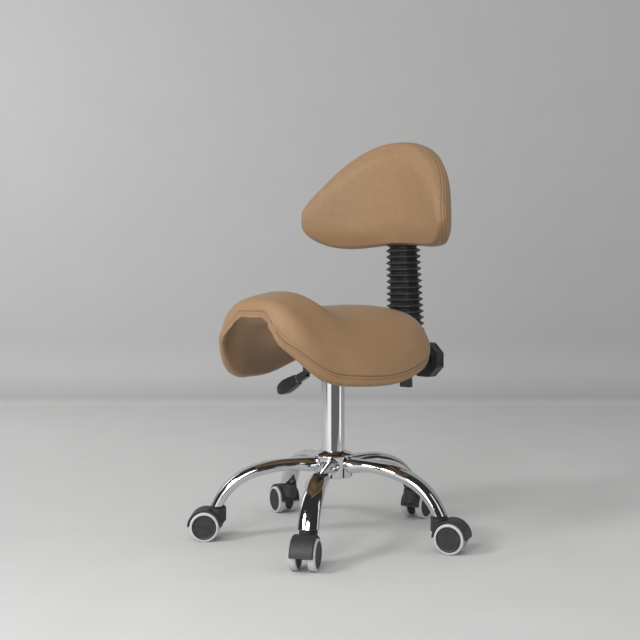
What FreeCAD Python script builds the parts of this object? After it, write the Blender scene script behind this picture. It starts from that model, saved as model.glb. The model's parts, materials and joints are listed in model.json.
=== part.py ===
import FreeCAD, Part
import math
import os

import Sketcher
from FreeCAD import Matrix, Placement, Rotation, Vector

# Saddle stool with a backrest on a five-leg base with twin-wheel casters.
# +Z is up and the floor is z = 0 under the column's axis. The sitter faces -Y and has the left
# hand at +X. Lengths are in millimetres, angles in degrees.

DRIVING_SIZES = {
    # Five-leg base
    "leg_angle_first": -58.8,
    "leg_height": 158.5,
    "leg_bend_gentle_radius": 300.0,
    "leg_bend_gentle_angle": 17.0,
    "leg_bend_tight_radius": 129.0,
    "leg_bend_tight_angle": 66.0,
    "leg_end_height": 74.0,
    "leg_end_setout": 1.06,
    "leg_root_width": 34.0,
    "leg_root_depth": 26.0,
    "leg_middle_width": 44.0,
    "leg_middle_depth": 28.0,
    "leg_end_width": 42.0,
    "leg_end_depth": 26.0,
    "leg_wall": 2.0,
    "notch_width": 28.0,
    "notch_height": 24.0,
    "plug_clearance": 0.1,
    "plug_length": 17.0,
    "plug_flange": 1.0,
    "plug_screw_radius": 4.0,
    "plug_screw_rise": 8.0,
    "plug_screw_length": 9.0,
    "hub_radius": 44.0,
    "hub_bottom": 131.0,
    "hub_top": 178.0,
    "hub_waist_radius": 30.0,
    "hub_foot_radius": 40.0,
    "hub_flange": 3.0,
    "hub_neck_radius": 31.0,
    "hub_neck_top": 186.0,
    # Gas lift
    "column_radius": 25.0,
    "column_wall": 2.0,
    "column_bottom": 137.0,
    "column_top": 335.0,
    "column_floor": 3.0,
    "bushing_rim": 5.0,
    "bushing_rim_radius": 26.5,
    "bushing_length": 62.0,
    "cylinder_radius": 14.0,
    "cylinder_wall": 2.0,
    "cylinder_bottom": 155.0,
    "cylinder_cone_bottom": 355.0,
    "cylinder_cone_narrowing": 1.0,
    "cylinder_top": 381.0,
    "cylinder_cap": 8.0,
    "rod_radius": 5.0,
    "rod_bottom": 132.0,
    "rod_top": 325.0,
    "piston_length": 12.0,
    "bearing_radius": 14.0,
    "bearing_height": 8.0,
    "clip_radius": 9.0,
    "clip_thickness": 1.5,
    "button_radius": 4.0,
    "button_height": 9.0,
    "button_depth": 6.0,
    "running_clearance": 0.3,
    # Casters
    "caster_circle_radius": 247.0,
    "caster_trail": 26.0,
    "wheel_radius": 31.0,
    "wheel_gap": 22.0,
    "tread_width": 15.5,
    "tread_thickness": 5.0,
    "tread_rounding": 3.0,
    "disc_dish": 1.2,
    "disc_boss_radius": 9.0,
    "axle_radius": 3.0,
    "axle_length": 44.0,
    "hood_radius": 36.5,
    "hood_wall": 3.2,
    "hood_width": 47.0,
    "hood_web": 20.0,
    "hood_neck_radius": 18.0,
    "hood_neck_top": 71.0,
    "hood_rounding": 2.0,
    "stem_radius": 4.0,
    "stem_bottom": 45.0,
    "stem_top": 87.0,
    "stem_collar_radius": 9.0,
    "stem_collar_height": 1.7,
}
DRIVING_SIZES.update({
    # Seat
    "seat_front": 241.0,
    "seat_length": 441.0,
    "seat_half_width": 205.0,
    "seat_low": 362.0,
    "seat_rise": 165.0,
    "seat_side": 50.0,
    "seat_band": 18.0,
    "seat_band_tuck": 3.5,
    "seat_thickness": 47.0,
    "seat_edge_thickness": 34.0,
    "seat_board_length": 200.0,
    "seat_board_width": 130.0,
    "seat_board_front": 48.0,
    "seat_board_bottom": 400.0,
    "seat_board_thickness": 12.0,
    "seat_board_corner": 18.0,
    "soft_clearance": 0.3,
    # Mechanism under the seat
    "housing_front": 50.0,
    "housing_length": 125.0,
    "housing_width": 84.0,
    "housing_bottom": 355.0,
    "housing_wall": 3.0,
    "housing_plate_length": 170.0,
    "housing_plate_width": 116.0,
    "housing_plate": 3.0,
    "housing_socket_wall": 5.0,
    "screw_radius": 3.0,
    "screw_head_radius": 6.5,
    "screw_head_height": 3.6,
    "screw_length": 11.0,
    "screw_inset": 9.0,
    "lever_pivot_x": 34.0,
    "lever_pivot_z": 383.1,
    "lever_pivot_radius": 3.0,
    "lever_width": 14.0,
    "lever_thickness": 6.0,
    "lever_nose_x": 6.0,
    "lever_knee_x": 28.0,
    "lever_bend_x": 50.0,
    "lever_bend_z": 361.0,
    "lever_rod_end_x": 112.0,
    "lever_tip_x": 166.0,
    "lever_tip_z": 300.0,
    "lever_nose_gap": 0.3,
    "paddle_length": 80.0,
    "paddle_width": 30.0,
    "paddle_thickness": 14.5,
    # Back
    "back_slide_lean": 3.0,
    "upright_y": 248.5,
    "upright_width": 30.0,
    "upright_depth": 12.0,
    "upright_bottom": 304.0,
    "upright_length": 420.0,
    "sleeve_bottom": 335.0,
    "sleeve_top": 393.0,
    "sleeve_wall": 5.0,
    "sleeve_clearance": 0.3,
    "arm_width": 40.0,
    "arm_thickness": 9.0,
    "arm_height": 375.0,
    "knob_height": 364.0,
    "knob_radius": 43.0,
    "knob_thickness": 30.0,
    "knob_face_y": 346.0,
    "knob_lobes": 8.0,
    "knob_scallop_radius": 14.0,
    "knob_collar_radius": 17.0,
    "knob_collar_gap": 1.0,
    "knob_stud_radius": 4.0,
    "knob_rounding": 5.0,
    "bellows_bottom": 394.0,
    "bellows_setback": 5.5,
    "bellows_width": 70.0,
    "bellows_depth": 61.0,
    "bellows_top_width": 62.0,
    "bellows_top_depth": 51.0,
    "bellows_pleat": 6.7,
    "bellows_pleats": 17.0,
    "bellows_wall": 1.2,
    "backrest_bottom": 629.5,
    "backrest_height": 240.0,
    "backrest_half_width": 200.0,
    "backrest_curve_radius": 228.5,
    "backrest_middle_y": 244.5,
    "backrest_thickness": 62.0,
    "backrest_edge_band": 36.0,
    "backrest_board_thickness": 8.0,
    "backrest_board_margin": 34.0,
    "bracket_width": 60.0,
    "bracket_height": 90.0,
    "bracket_thickness": 4.0,
    "bracket_bottom": 655.0,
})

document = FreeCAD.newDocument("saddle_stool")
sheet = document.addObject("Spreadsheet::Sheet", "Sizes")
for row, (word, number) in enumerate(DRIVING_SIZES.items(), start=1):
    sheet.set("A{}".format(row), word)
    sheet.set("B{}".format(row), str(number))
    sheet.setAlias("B{}".format(row), word)
document.recompute()


class Size:
    """A driving size, or a sum worked out from driving sizes, with its sheet expression."""

    def __init__(self, value, text):
        self.value = value
        self.text = text

    def combine(self, other, sign, value):
        text = other.text if isinstance(other, Size) else str(other)
        return Size(value, "({} {} {})".format(self.text, sign, text))

    def __add__(self, other):
        return self.combine(other, "+", self.value + number_of(other))

    def __sub__(self, other):
        return self.combine(other, "-", self.value - number_of(other))

    def __mul__(self, other):
        return self.combine(other, "*", self.value * number_of(other))

    def __truediv__(self, other):
        return self.combine(other, "/", self.value / number_of(other))

    def __neg__(self):
        return Size(-self.value, "(0 - {})".format(self.text))


def number_of(amount):
    return amount.value if isinstance(amount, Size) else float(amount)


class BoundSizes:
    """Gives each driving size as a Size, by its word."""

    def __getattr__(self, word):
        return Size(float(sheet.get(word)), "Sizes." + word)


class PlainSizes:
    """Gives each driving size as a plain number, by its word."""

    def __getattr__(self, word):
        return float(sheet.get(word))


bound = BoundSizes()
mm = PlainSizes()
Z_AXIS = Vector(0, 0, 1)
X_AXIS = Vector(1, 0, 0)
Y_AXIS = Vector(0, 1, 0)
ORIGIN = Vector(0, 0, 0)
LEG_COUNT = 5
kept = []


def bind(item, prop, amount):
    """Ties a property to the sheet, or sets it where it doesn't depend on a size."""
    if isinstance(amount, Size):
        item.setExpression(prop, amount.text)
    else:
        setattr(item, prop, amount)


def place(item, x=0, y=0, z=0, turn=None):
    """Puts an object at bound coordinates, turned by a rotation."""
    item.Placement = Placement(
        Vector(number_of(x), number_of(y), number_of(z)), turn or Rotation())
    for axis, amount in (("x", x), ("y", y), ("z", z)):
        if isinstance(amount, Size):
            item.setExpression(".Placement.Base." + axis, amount.text)
    return item


def keep(item, label):
    """Marks an object as one of the stool's sub-parts, written under its label."""
    item.Label = label
    kept.append(item)
    return item


def new_body(name):
    return document.addObject("PartDesign::Body", name)


def sketch_on(body, role, name):
    """A sketch on one of the body's own origin planes."""
    sketch = body.newObject("Sketcher::SketchObject", name)
    plane = [item for item in body.Origin.OriginFeatures if item.Role == role][0]
    sketch.AttachmentSupport = [(plane, "")]
    sketch.MapMode = "FlatFace"
    return sketch


def draw_outline(sketch, corners):
    """Draws a closed outline through corners, each held by two bound distances."""
    first = sketch.GeometryCount
    count = len(corners)
    points = [Vector(number_of(x), number_of(y), 0) for x, y in corners]
    for i in range(count):
        sketch.addGeometry(Part.LineSegment(points[i], points[(i + 1) % count]), False)
    for i in range(count):
        after = first + (i + 1) % count
        sketch.addConstraint(Sketcher.Constraint("Coincident", first + i, 2, after, 1))
    for i, corner in enumerate(corners):
        hold_point(sketch, first + i, 1, corner)


def hold_point(sketch, geometry, vertex, corner):
    """Holds a sketch point at bound distances from the sketch's origin."""
    for kind, amount in zip(("DistanceX", "DistanceY"), corner):
        value = number_of(amount)
        if not isinstance(amount, Size) and value == 0:
            other_axis = -1 if kind == "DistanceY" else -2
            sketch.addConstraint(
                Sketcher.Constraint("PointOnObject", geometry, vertex, other_axis))
            continue
        index = sketch.addConstraint(
            Sketcher.Constraint(kind, -1, 1, geometry, vertex, value))
        if isinstance(amount, Size):
            sketch.setExpression("Constraints[{}]".format(index), amount.text)


def draw_circle(sketch, radius, x=0, y=0):
    """Draws a circle of a bound radius about a bound centre."""
    centre = Vector(number_of(x), number_of(y), 0)
    index = sketch.addGeometry(Part.Circle(centre, Z_AXIS, number_of(radius)), False)
    hold_point(sketch, index, 3, (x, y))
    held = sketch.addConstraint(Sketcher.Constraint("Radius", index, number_of(radius)))
    sketch.setExpression("Constraints[{}]".format(held), radius.text)


def revolve(body, corners, name="Profile"):
    """Turns an outline of radius and height about the body's vertical axis."""
    sketch = sketch_on(body, "XZ_Plane", name)
    draw_outline(sketch, corners)
    turned = body.newObject("PartDesign::Revolution", name + "Turned")
    turned.Profile = sketch
    turned.ReferenceAxis = (sketch, ["V_Axis"])
    turned.Angle = 360
    return turned


def pad(body, sketch, length, middle=False, down=False):
    """Pads a sketch by a bound length."""
    padded = body.newObject("PartDesign::Pad", sketch.Name + "Pad")
    padded.Profile = sketch
    bind(padded, "Length", length)
    padded.Midplane = middle
    padded.Reversed = down
    return padded


def pocket(body, sketch, length=None, middle=False, down=False):
    """Cuts a sketch through the body, or to a bound depth."""
    cutting = body.newObject("PartDesign::Pocket", sketch.Name + "Pocket")
    cutting.Profile = sketch
    if length is None:
        cutting.Type = 1
    else:
        bind(cutting, "Length", length)
    cutting.Midplane = middle
    cutting.Reversed = down
    return cutting


def edges_where(solid, wanted):
    """The names of those edges of a feature whose middle point the test accepts."""
    names = []
    for i, edge in enumerate(solid.Shape.Edges, start=1):
        if wanted(edge.valueAt((edge.FirstParameter + edge.LastParameter) / 2)):
            names.append("Edge{}".format(i))
    return names


def round_edges(body, radius, wanted):
    """Rounds the wanted edges of the body."""
    document.recompute()
    solid = body.Tip
    rounded = body.newObject("PartDesign::Fillet", "Rounded")
    rounded.Base = (solid, edges_where(solid, wanted))
    bind(rounded, "Radius", radius)
    document.recompute()


def bevel_edges(body, size, wanted):
    """Takes off the wanted edges of the body."""
    document.recompute()
    solid = body.Tip
    bevelled = body.newObject("PartDesign::Chamfer", "Bevelled")
    bevelled.Base = (solid, edges_where(solid, wanted))
    bind(bevelled, "Size", size)
    document.recompute()


def turned_part(label, corners, x=0, y=0, z=0, turn=None):
    """A sub-part turned on a lathe: one revolved outline."""
    body = new_body(label)
    revolve(body, corners)
    place(body, x, y, z, turn)
    return body


def shape_part(label, shape):
    """A sub-part whose shape is worked out from the sheet's values."""
    item = document.addObject("Part::Feature", label)
    item.Shape = shape
    return item


def ring(inner, outer, low, high):
    """The outline of a plain ring: inner and outer radius, low and high end."""
    return [(inner, low), (outer, low), (outer, high), (inner, high)]


def near(a, b, width=0.01):
    return abs(a - b) < width


# Five-leg base

LEG_CORE_SIDES = 12


def leg_angles():
    """Directions of the legs about the column, counter-clockwise from +X."""
    return [mm.leg_angle_first + 360.0 / LEG_COUNT * i for i in range(LEG_COUNT)]


def leg_straight_end():
    """The radius where a leg starts to bend, so that its end stands over its caster's stem.

    It is rounded to a hundredth, as the tube bender is set.
    """
    gentle = math.radians(mm.leg_bend_gentle_angle)
    tight = math.radians(mm.leg_bend_tight_angle)
    bends_run = (mm.leg_bend_gentle_radius * math.sin(gentle)
                 + mm.leg_bend_tight_radius * (math.sin(tight) - math.sin(gentle)))
    bends_drop = (mm.leg_bend_gentle_radius * (1 - math.cos(gentle))
                  + mm.leg_bend_tight_radius * (math.cos(gentle) - math.cos(tight)))
    last_drop = mm.leg_height - bends_drop - mm.leg_end_height
    leg_end = mm.caster_circle_radius + mm.leg_end_setout
    return round(leg_end - bends_run - last_drop / math.tan(tight), 2)


def leg_stations():
    """Places along a leg's centreline: radius, height, downward slope, width and depth."""
    middle_section = (mm.leg_middle_width, mm.leg_middle_depth)
    end_section = (mm.leg_end_width, mm.leg_end_depth)
    stations = [(mm.column_radius, mm.leg_height, 0.0, mm.leg_root_width, mm.leg_root_depth)]
    centre_r = leg_straight_end()
    stations.append((centre_r, mm.leg_height, 0.0, mm.leg_root_width * 1.06,
                     mm.leg_root_depth))
    centre_z = mm.leg_height - mm.leg_bend_gentle_radius
    for share in (0.5, 1.0):
        slope = math.radians(mm.leg_bend_gentle_angle * share)
        radius = centre_r + mm.leg_bend_gentle_radius * math.sin(slope)
        height = centre_z + mm.leg_bend_gentle_radius * math.cos(slope)
        width = mm.leg_root_width + (middle_section[0] - mm.leg_root_width) * share
        depth = mm.leg_root_depth + (middle_section[1] - mm.leg_root_depth) * share
        stations.append((radius, height, slope, width, depth))
    start = math.radians(mm.leg_bend_gentle_angle)
    end = math.radians(mm.leg_bend_tight_angle)
    centre_r = radius - mm.leg_bend_tight_radius * math.sin(start)
    centre_z = height - mm.leg_bend_tight_radius * math.cos(start)
    for share in (0.33, 0.67, 1.0):
        slope = start + (end - start) * share
        radius = centre_r + mm.leg_bend_tight_radius * math.sin(slope)
        height = centre_z + mm.leg_bend_tight_radius * math.cos(slope)
        width = middle_section[0] + (end_section[0] - middle_section[0]) * share
        depth = middle_section[1] + (end_section[1] - middle_section[1]) * share
        stations.append((radius, height, slope, width, depth))
    overrun = mm.leg_end_depth
    stations.append((radius + overrun * math.cos(end), height - overrun * math.sin(end), end,
                     end_section[0], end_section[1]))
    return stations


def leg_section(station):
    """A flattened round section across the leg."""
    radius, height, slope, width, depth = station
    up = Vector(math.sin(slope), 0, math.cos(slope))
    centre = Vector(radius, 0, height)
    ellipse = Part.Ellipse(centre + Y_AXIS * (width / 2), centre + up * (depth / 2), centre)
    return Part.Wire([ellipse.toShape()])


def leg_core_section(station, inset):
    """The twelve-sided section of what is inside the leg, an inset below its surface."""
    radius, height, slope, width, depth = station
    up = Vector(math.sin(slope), 0, math.cos(slope))
    centre = Vector(radius, 0, height)
    corners = []
    for i in range(LEG_CORE_SIDES):
        turn = 2 * math.pi * (i + 0.5) / LEG_CORE_SIDES
        across = Y_AXIS * ((width / 2 - inset) * math.cos(turn))
        corners.append(centre + across + up * ((depth / 2 - inset) * math.sin(turn)))
    return Part.makePolygon(corners + [corners[0]])


def leg_core(inset):
    """What is inside the leg along its whole centreline, an inset below its surface."""
    return Part.makeLoft([leg_core_section(station, inset) for station in leg_stations()], True)


def around_column(shape):
    """Copies of a shape in the first leg's direction, one at each leg."""
    copies = []
    for angle in leg_angles():
        copy = shape.copy()
        copy.rotate(ORIGIN, Z_AXIS, angle)
        copies.append(copy)
    return Part.makeCompound(copies)


def notch_cutter():
    """The three-cornered opening in the leg's end, on the side that faces the column."""
    half = mm.notch_width / 2
    corners = [Vector(0, -half, mm.leg_end_height), Vector(0, half, mm.leg_end_height),
               Vector(0, 0, mm.leg_end_height + mm.notch_height)]
    face = Part.Face(Part.makePolygon(corners + [corners[0]]))
    return face.extrude(Vector(mm.caster_circle_radius, 0, 0))


def make_base():
    hub = new_body("base_hub")
    inner = bound.column_radius
    waist = bound.hub_waist_radius
    flange = bound.hub_flange
    foot_flare = bound.hub_foot_radius - waist
    head_flare = bound.hub_radius - waist
    revolve(hub, [
        (inner, bound.hub_bottom), (bound.hub_foot_radius - flange / 2, bound.hub_bottom),
        (bound.hub_foot_radius, bound.hub_bottom + flange / 2),
        (bound.hub_foot_radius, bound.hub_bottom + flange),
        (waist + foot_flare * 0.3, bound.hub_bottom + flange + foot_flare * 0.3),
        (waist, bound.hub_bottom + flange + foot_flare),
        (waist, bound.hub_top - flange - head_flare * 0.7),
        (waist + head_flare * 0.3, bound.hub_top - flange - head_flare * 0.2),
        (bound.hub_radius, bound.hub_top - flange), (bound.hub_radius, bound.hub_top),
        (bound.hub_neck_radius, bound.hub_neck_top - flange / 2),
        (bound.hub_neck_radius - flange, bound.hub_neck_top), (inner, bound.hub_neck_top)])
    keep(hub, "base_hub")
    document.recompute()

    outer = Part.makeLoft([leg_section(station) for station in leg_stations()], True)
    inner = leg_core(mm.leg_wall)
    floor_box = Part.makeBox(mm.caster_circle_radius * 2, mm.leg_middle_width * 2, mm.leg_height,
                             Vector(0, -mm.leg_middle_width, mm.leg_end_height - mm.leg_height))
    hub_core = Part.makeCylinder(mm.hub_waist_radius, mm.hub_top - mm.hub_bottom,
                                 Vector(0, 0, mm.hub_bottom))
    leg = outer.cut(inner).cut(floor_box).cut(hub_core).cut(hub.Shape)
    cutter = notch_cutter()
    inner_side = leg.common(cutter)
    pieces = sorted(inner_side.Solids, key=lambda solid: solid.CenterOfMass.x)
    for piece in pieces:
        if piece.CenterOfMass.x < mm.caster_circle_radius - mm.leg_end_depth / 4:
            leg = leg.cut(piece)
    legs = shape_part("base_legs", around_column(leg))
    keep(legs, "base_legs")

    core = leg_core(mm.leg_wall + mm.plug_clearance).cut(floor_box)
    top_box = Part.makeBox(mm.caster_circle_radius * 2, mm.leg_middle_width * 2, mm.leg_height,
                           Vector(0, -mm.leg_middle_width, mm.leg_end_height + mm.plug_length))
    core = core.cut(top_box)
    flange_face = outer.common(Part.makeBox(
        mm.caster_circle_radius * 2, mm.leg_middle_width * 2, mm.plug_flange,
        Vector(0, -mm.leg_middle_width, mm.leg_end_height - mm.plug_flange)))
    plug = core.fuse(flange_face)
    bore_depth = mm.stem_top - mm.stem_bottom
    bore = Part.makeCylinder(mm.stem_radius + mm.plug_clearance, bore_depth + mm.plug_clearance,
                             Vector(mm.caster_circle_radius, 0, mm.stem_bottom))
    plug = plug.cut(bore)
    screw = plug_screw()
    plug = plug.cut(screw)
    keep(shape_part("leg_end_plugs", around_column(plug)), "leg_end_plugs")
    keep(shape_part("leg_plug_screws", around_column(screw)), "leg_plug_screws")


def plug_screw():
    """The small screw seen in the notch, square to the leg's inner side."""
    slope = math.radians(mm.leg_bend_tight_angle)
    stations = leg_stations()
    end = stations[-2]
    up = Vector(math.sin(slope), 0, math.cos(slope))
    height = mm.leg_end_height + mm.plug_screw_rise
    rise = (height - end[1]) / math.sin(slope)
    centre = Vector(end[0] - rise * math.cos(slope), 0, height)
    head_top = centre - up * (mm.leg_end_depth / 2 - mm.leg_wall)
    head = Part.makeCylinder(mm.plug_screw_radius, mm.leg_wall / 2, head_top, -up)
    shank = Part.makeCylinder(mm.plug_screw_radius / 2, mm.plug_screw_length / 2, head_top, up)
    return head.fuse(shank)


# Gas lift


def make_gas_lift():
    tube_inner = bound.column_radius - bound.column_wall
    rod_hole = bound.rod_radius + bound.running_clearance
    floor_top = bound.column_bottom + bound.column_floor
    tube = turned_part("column_tube", [
        (rod_hole, bound.column_bottom), (bound.column_radius, bound.column_bottom),
        (bound.column_radius, bound.column_top), (tube_inner, bound.column_top),
        (tube_inner, floor_top), (rod_hole, floor_top)])
    keep(tube, "column_tube")

    guide = bound.cylinder_radius + bound.running_clearance
    rim_top = bound.column_top + bound.bushing_rim
    bushing_foot = bound.column_top - bound.bushing_length
    bushing = turned_part("column_bushing", [
        (guide, bushing_foot), (tube_inner, bushing_foot), (tube_inner, bound.column_top),
        (bound.bushing_rim_radius, bound.column_top),
        (bound.bushing_rim_radius, rim_top - bound.bushing_rim / 3),
        (bound.bushing_rim_radius - bound.bushing_rim / 3, rim_top), (guide, rim_top)])
    keep(bushing, "column_bushing")

    bearing = turned_part("thrust_bearing", ring(
        rod_hole, bound.bearing_radius, floor_top, floor_top + bound.bearing_height))
    keep(bearing, "thrust_bearing")

    clip = turned_part("rod_clip", ring(
        bound.rod_radius, bound.clip_radius, bound.column_bottom - bound.clip_thickness,
        bound.column_bottom))
    keep(clip, "rod_clip")

    bore = bound.cylinder_radius - bound.cylinder_wall
    shoulder_low = floor_top + bound.bearing_height
    shoulder = bound.rod_radius + bound.cylinder_wall
    piston = bore - bound.running_clearance
    piston_low = bound.rod_top - bound.piston_length
    rod = turned_part("lift_rod", [
        (0, bound.rod_bottom), (bound.rod_radius, bound.rod_bottom),
        (bound.rod_radius, shoulder_low), (shoulder, shoulder_low),
        (shoulder, shoulder_low + bound.cylinder_wall),
        (bound.rod_radius, shoulder_low + bound.cylinder_wall),
        (bound.rod_radius, piston_low), (piston, piston_low), (piston, bound.rod_top),
        (0, bound.rod_top)])
    keep(rod, "lift_rod")

    neck = bound.cylinder_radius - bound.cylinder_cone_narrowing
    well = bound.button_radius + bound.running_clearance
    well_floor = bound.cylinder_top - bound.button_depth - bound.running_clearance
    seal_top = bound.cylinder_bottom + bound.cylinder_cap
    cylinder = turned_part("lift_cylinder", [
        (rod_hole, bound.cylinder_bottom), (bound.cylinder_radius, bound.cylinder_bottom),
        (bound.cylinder_radius, bound.cylinder_cone_bottom), (neck, bound.cylinder_top),
        (well, bound.cylinder_top), (well, well_floor), (0, well_floor),
        (0, well_floor - bound.cylinder_cap), (bore, well_floor - bound.cylinder_cap),
        (bore, seal_top), (rod_hole, seal_top)])
    keep(cylinder, "lift_cylinder")

    button_low = bound.cylinder_top - bound.button_depth / 3
    button_top = button_low + bound.button_height
    edge = bound.button_radius / 4
    button = turned_part("release_button", [
        (0, button_low), (bound.button_radius, button_low),
        (bound.button_radius, button_top - edge), (bound.button_radius - edge, button_top),
        (0, button_top)])
    keep(button, "release_button")


# Casters

CASTER_TRAIL_ANGLES = (-60.5, 20.0, 98.0, 161.0, 222.0)


def hood_master():
    """The moulded hood: a fender over both wheels, a web between them and a round neck."""
    hood = new_body("caster_hood_form")
    half_web = bound.hood_web / 2

    fender = sketch_on(hood, "XZ_Plane", "Fender")
    centre = Vector(mm.caster_trail, mm.wheel_radius, 0)
    circle = Part.Circle(centre, Z_AXIS, mm.hood_radius)
    arc = fender.addGeometry(Part.ArcOfCircle(circle, 0, math.pi), False)
    line = fender.addGeometry(Part.LineSegment(
        centre - X_AXIS * mm.hood_radius, centre + X_AXIS * mm.hood_radius), False)
    fender.addConstraint(Sketcher.Constraint("Coincident", arc, 2, line, 1))
    fender.addConstraint(Sketcher.Constraint("Coincident", line, 2, arc, 1))
    fender.addConstraint(Sketcher.Constraint("Horizontal", line))
    fender.addConstraint(Sketcher.Constraint("PointOnObject", arc, 3, line))
    hold_point(fender, arc, 3, (bound.caster_trail, bound.wheel_radius))
    held = fender.addConstraint(Sketcher.Constraint("Radius", arc, mm.hood_radius))
    fender.setExpression("Constraints[{}]".format(held), "Sizes.hood_radius")
    pad(hood, fender, bound.hood_width, middle=True)

    neck_edge = bound.hood_rounding
    neck_low = bound.wheel_radius + neck_edge
    revolve(hood, [
        (0, neck_low), (bound.hood_neck_radius / 2, neck_low),
        (bound.hood_neck_radius, neck_low + bound.hood_neck_radius / 2),
        (bound.hood_neck_radius, bound.hood_neck_top - neck_edge),
        (bound.hood_neck_radius - neck_edge, bound.hood_neck_top),
        (0, bound.hood_neck_top)], "Neck")

    boss = sketch_on(hood, "XZ_Plane", "AxleBoss")
    draw_circle(boss, bound.disc_boss_radius + bound.hood_wall / 2, bound.caster_trail,
                bound.wheel_radius)
    pad(hood, boss, bound.hood_web, middle=True)

    wheel_space = bound.hood_radius - bound.hood_wall
    for name, side in (("WheelSpaceRight", 1), ("WheelSpaceLeft", -1)):
        space = sketch_on(hood, "XZ_Plane", name)
        offset = half_web * side
        space.AttachmentOffset = Placement(Vector(0, 0, number_of(offset)), Rotation())
        space.setExpression(".AttachmentOffset.Base.z", offset.text)
        draw_circle(space, wheel_space, bound.caster_trail, bound.wheel_radius)
        pocket(hood, space, bound.hood_width, down=(side > 0))

    axle_bore = sketch_on(hood, "XZ_Plane", "AxleBore")
    draw_circle(axle_bore, bound.axle_radius, bound.caster_trail, bound.wheel_radius)
    pocket(hood, axle_bore, bound.hood_width, middle=True)
    stem_bore = sketch_on(hood, "XY_Plane", "StemBore")
    offset = bound.stem_bottom - bound.running_clearance
    stem_bore.AttachmentOffset = Placement(Vector(0, 0, number_of(offset)), Rotation())
    stem_bore.setExpression(".AttachmentOffset.Base.z", offset.text)
    draw_circle(stem_bore, bound.stem_radius + bound.running_clearance)
    pocket(hood, stem_bore, bound.hood_neck_top, down=True)

    half_width = mm.hood_width / 2

    def outer_fender_edge(middle):
        on_side = near(abs(middle.y), half_width)
        reach = Vector(middle.x - mm.caster_trail, 0, middle.z - mm.wheel_radius).Length
        return on_side and near(reach, mm.hood_radius)

    bevel_edges(hood, bound.hood_rounding, outer_fender_edge)
    return hood


def caster_masters():
    """One caster's pieces about its own swivel axis, trailing towards +X."""
    bore = bound.axle_radius + bound.running_clearance
    rim = bound.wheel_radius - bound.tread_thickness
    edge = bound.disc_dish
    width = bound.tread_width
    face = width - bound.disc_dish
    bore_end = bound.axle_length / 2 - bound.wheel_gap / 2 + bound.running_clearance
    disc_outline = [
        (bore, 0), (bound.disc_boss_radius, 0), (bound.disc_boss_radius, edge), (rim, edge),
        (rim, face), (rim - edge * 1.5, width), (rim - edge * 4, face), (0, face),
        (0, bore_end), (bore, bore_end)]
    corner = bound.tread_rounding
    shoulder = bound.wheel_radius - corner * 0.3
    tread_outline = [
        (rim, 0), (bound.wheel_radius - corner, 0), (shoulder, corner * 0.3),
        (bound.wheel_radius, corner), (bound.wheel_radius, width - corner),
        (shoulder, width - corner * 0.3), (bound.wheel_radius - corner, width), (rim, width)]
    masters = {"caster_hood": hood_master()}
    collar_top = bound.hood_neck_top + bound.stem_collar_height
    masters["caster_stem"] = turned_part("caster_stem_form", [
        (0, bound.stem_bottom), (bound.stem_radius, bound.stem_bottom),
        (bound.stem_radius, bound.hood_neck_top),
        (bound.stem_collar_radius, bound.hood_neck_top),
        (bound.stem_collar_radius, collar_top), (bound.stem_radius, collar_top),
        (bound.stem_radius, bound.stem_top), (0, bound.stem_top)])
    half_length = bound.axle_length / 2
    end = bound.axle_radius / 4
    masters["caster_axle"] = turned_part("caster_axle_form", [
        (0, -half_length), (bound.axle_radius - end, -half_length),
        (bound.axle_radius, end - half_length), (bound.axle_radius, half_length - end),
        (bound.axle_radius - end, half_length), (0, half_length)],
        bound.caster_trail, 0, bound.wheel_radius, Rotation(X_AXIS, 90))

    for side, sign in (("left", 1), ("right", -1)):
        turn = Rotation(X_AXIS, -90 * sign)
        y = bound.wheel_gap / 2 * sign
        masters["wheel_disc_" + side] = turned_part(
            "wheel_disc_form_" + side, disc_outline, bound.caster_trail, y,
            bound.wheel_radius, turn)
        masters["wheel_tread_" + side] = turned_part(
            "wheel_tread_form_" + side, tread_outline, bound.caster_trail, y,
            bound.wheel_radius, turn)
    return masters


def make_casters():
    masters = caster_masters()
    document.recompute()
    for i, (leg_angle, trail_angle) in enumerate(zip(leg_angles(), CASTER_TRAIL_ANGLES)):
        x = bound.caster_circle_radius * math.cos(math.radians(leg_angle))
        y = bound.caster_circle_radius * math.sin(math.radians(leg_angle))
        for kind, master in masters.items():
            label = "{}_{}".format(kind, i + 1)
            copy = document.addObject("Part::Compound", label)
            copy.Links = [master]
            place(copy, x, y, 0, Rotation(Z_AXIS, trail_angle))
            keep(copy, label)


# Soft forms


def arc_bow(start, heading, end):
    """The point half way along the arc that leaves start on a heading and ends at end."""
    chord = end - start
    turn = heading.getAngle(chord)
    side = chord.cross(heading).cross(chord)
    if side.Length < chord.Length ** 3 * 1e-9:
        return None
    side.normalize()
    return start + chord * 0.5 + side * (chord.Length / 2 * math.tan(turn / 2))


def arc_edge(start, heading, end):
    bow = arc_bow(start, heading, end)
    if bow is None:
        return Part.LineSegment(start, end).toShape()
    return Part.Arc(start, bow, end).toShape()


def smooth_pair(start, start_heading, end, end_heading):
    """Two arcs that meet smoothly and leave and reach the ends on their headings."""
    chord = end - start
    both = start_heading + end_heading
    spread = 2 * (1 - start_heading.dot(end_heading))
    along = chord.dot(both)
    reach = (math.sqrt(along * along + spread * chord.dot(chord)) - along) / spread
    middle = (start + end + (start_heading - end_heading) * reach) * 0.5
    first = arc_edge(start, start_heading, middle)
    return [first, arc_edge(end, -end_heading, middle)]


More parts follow.
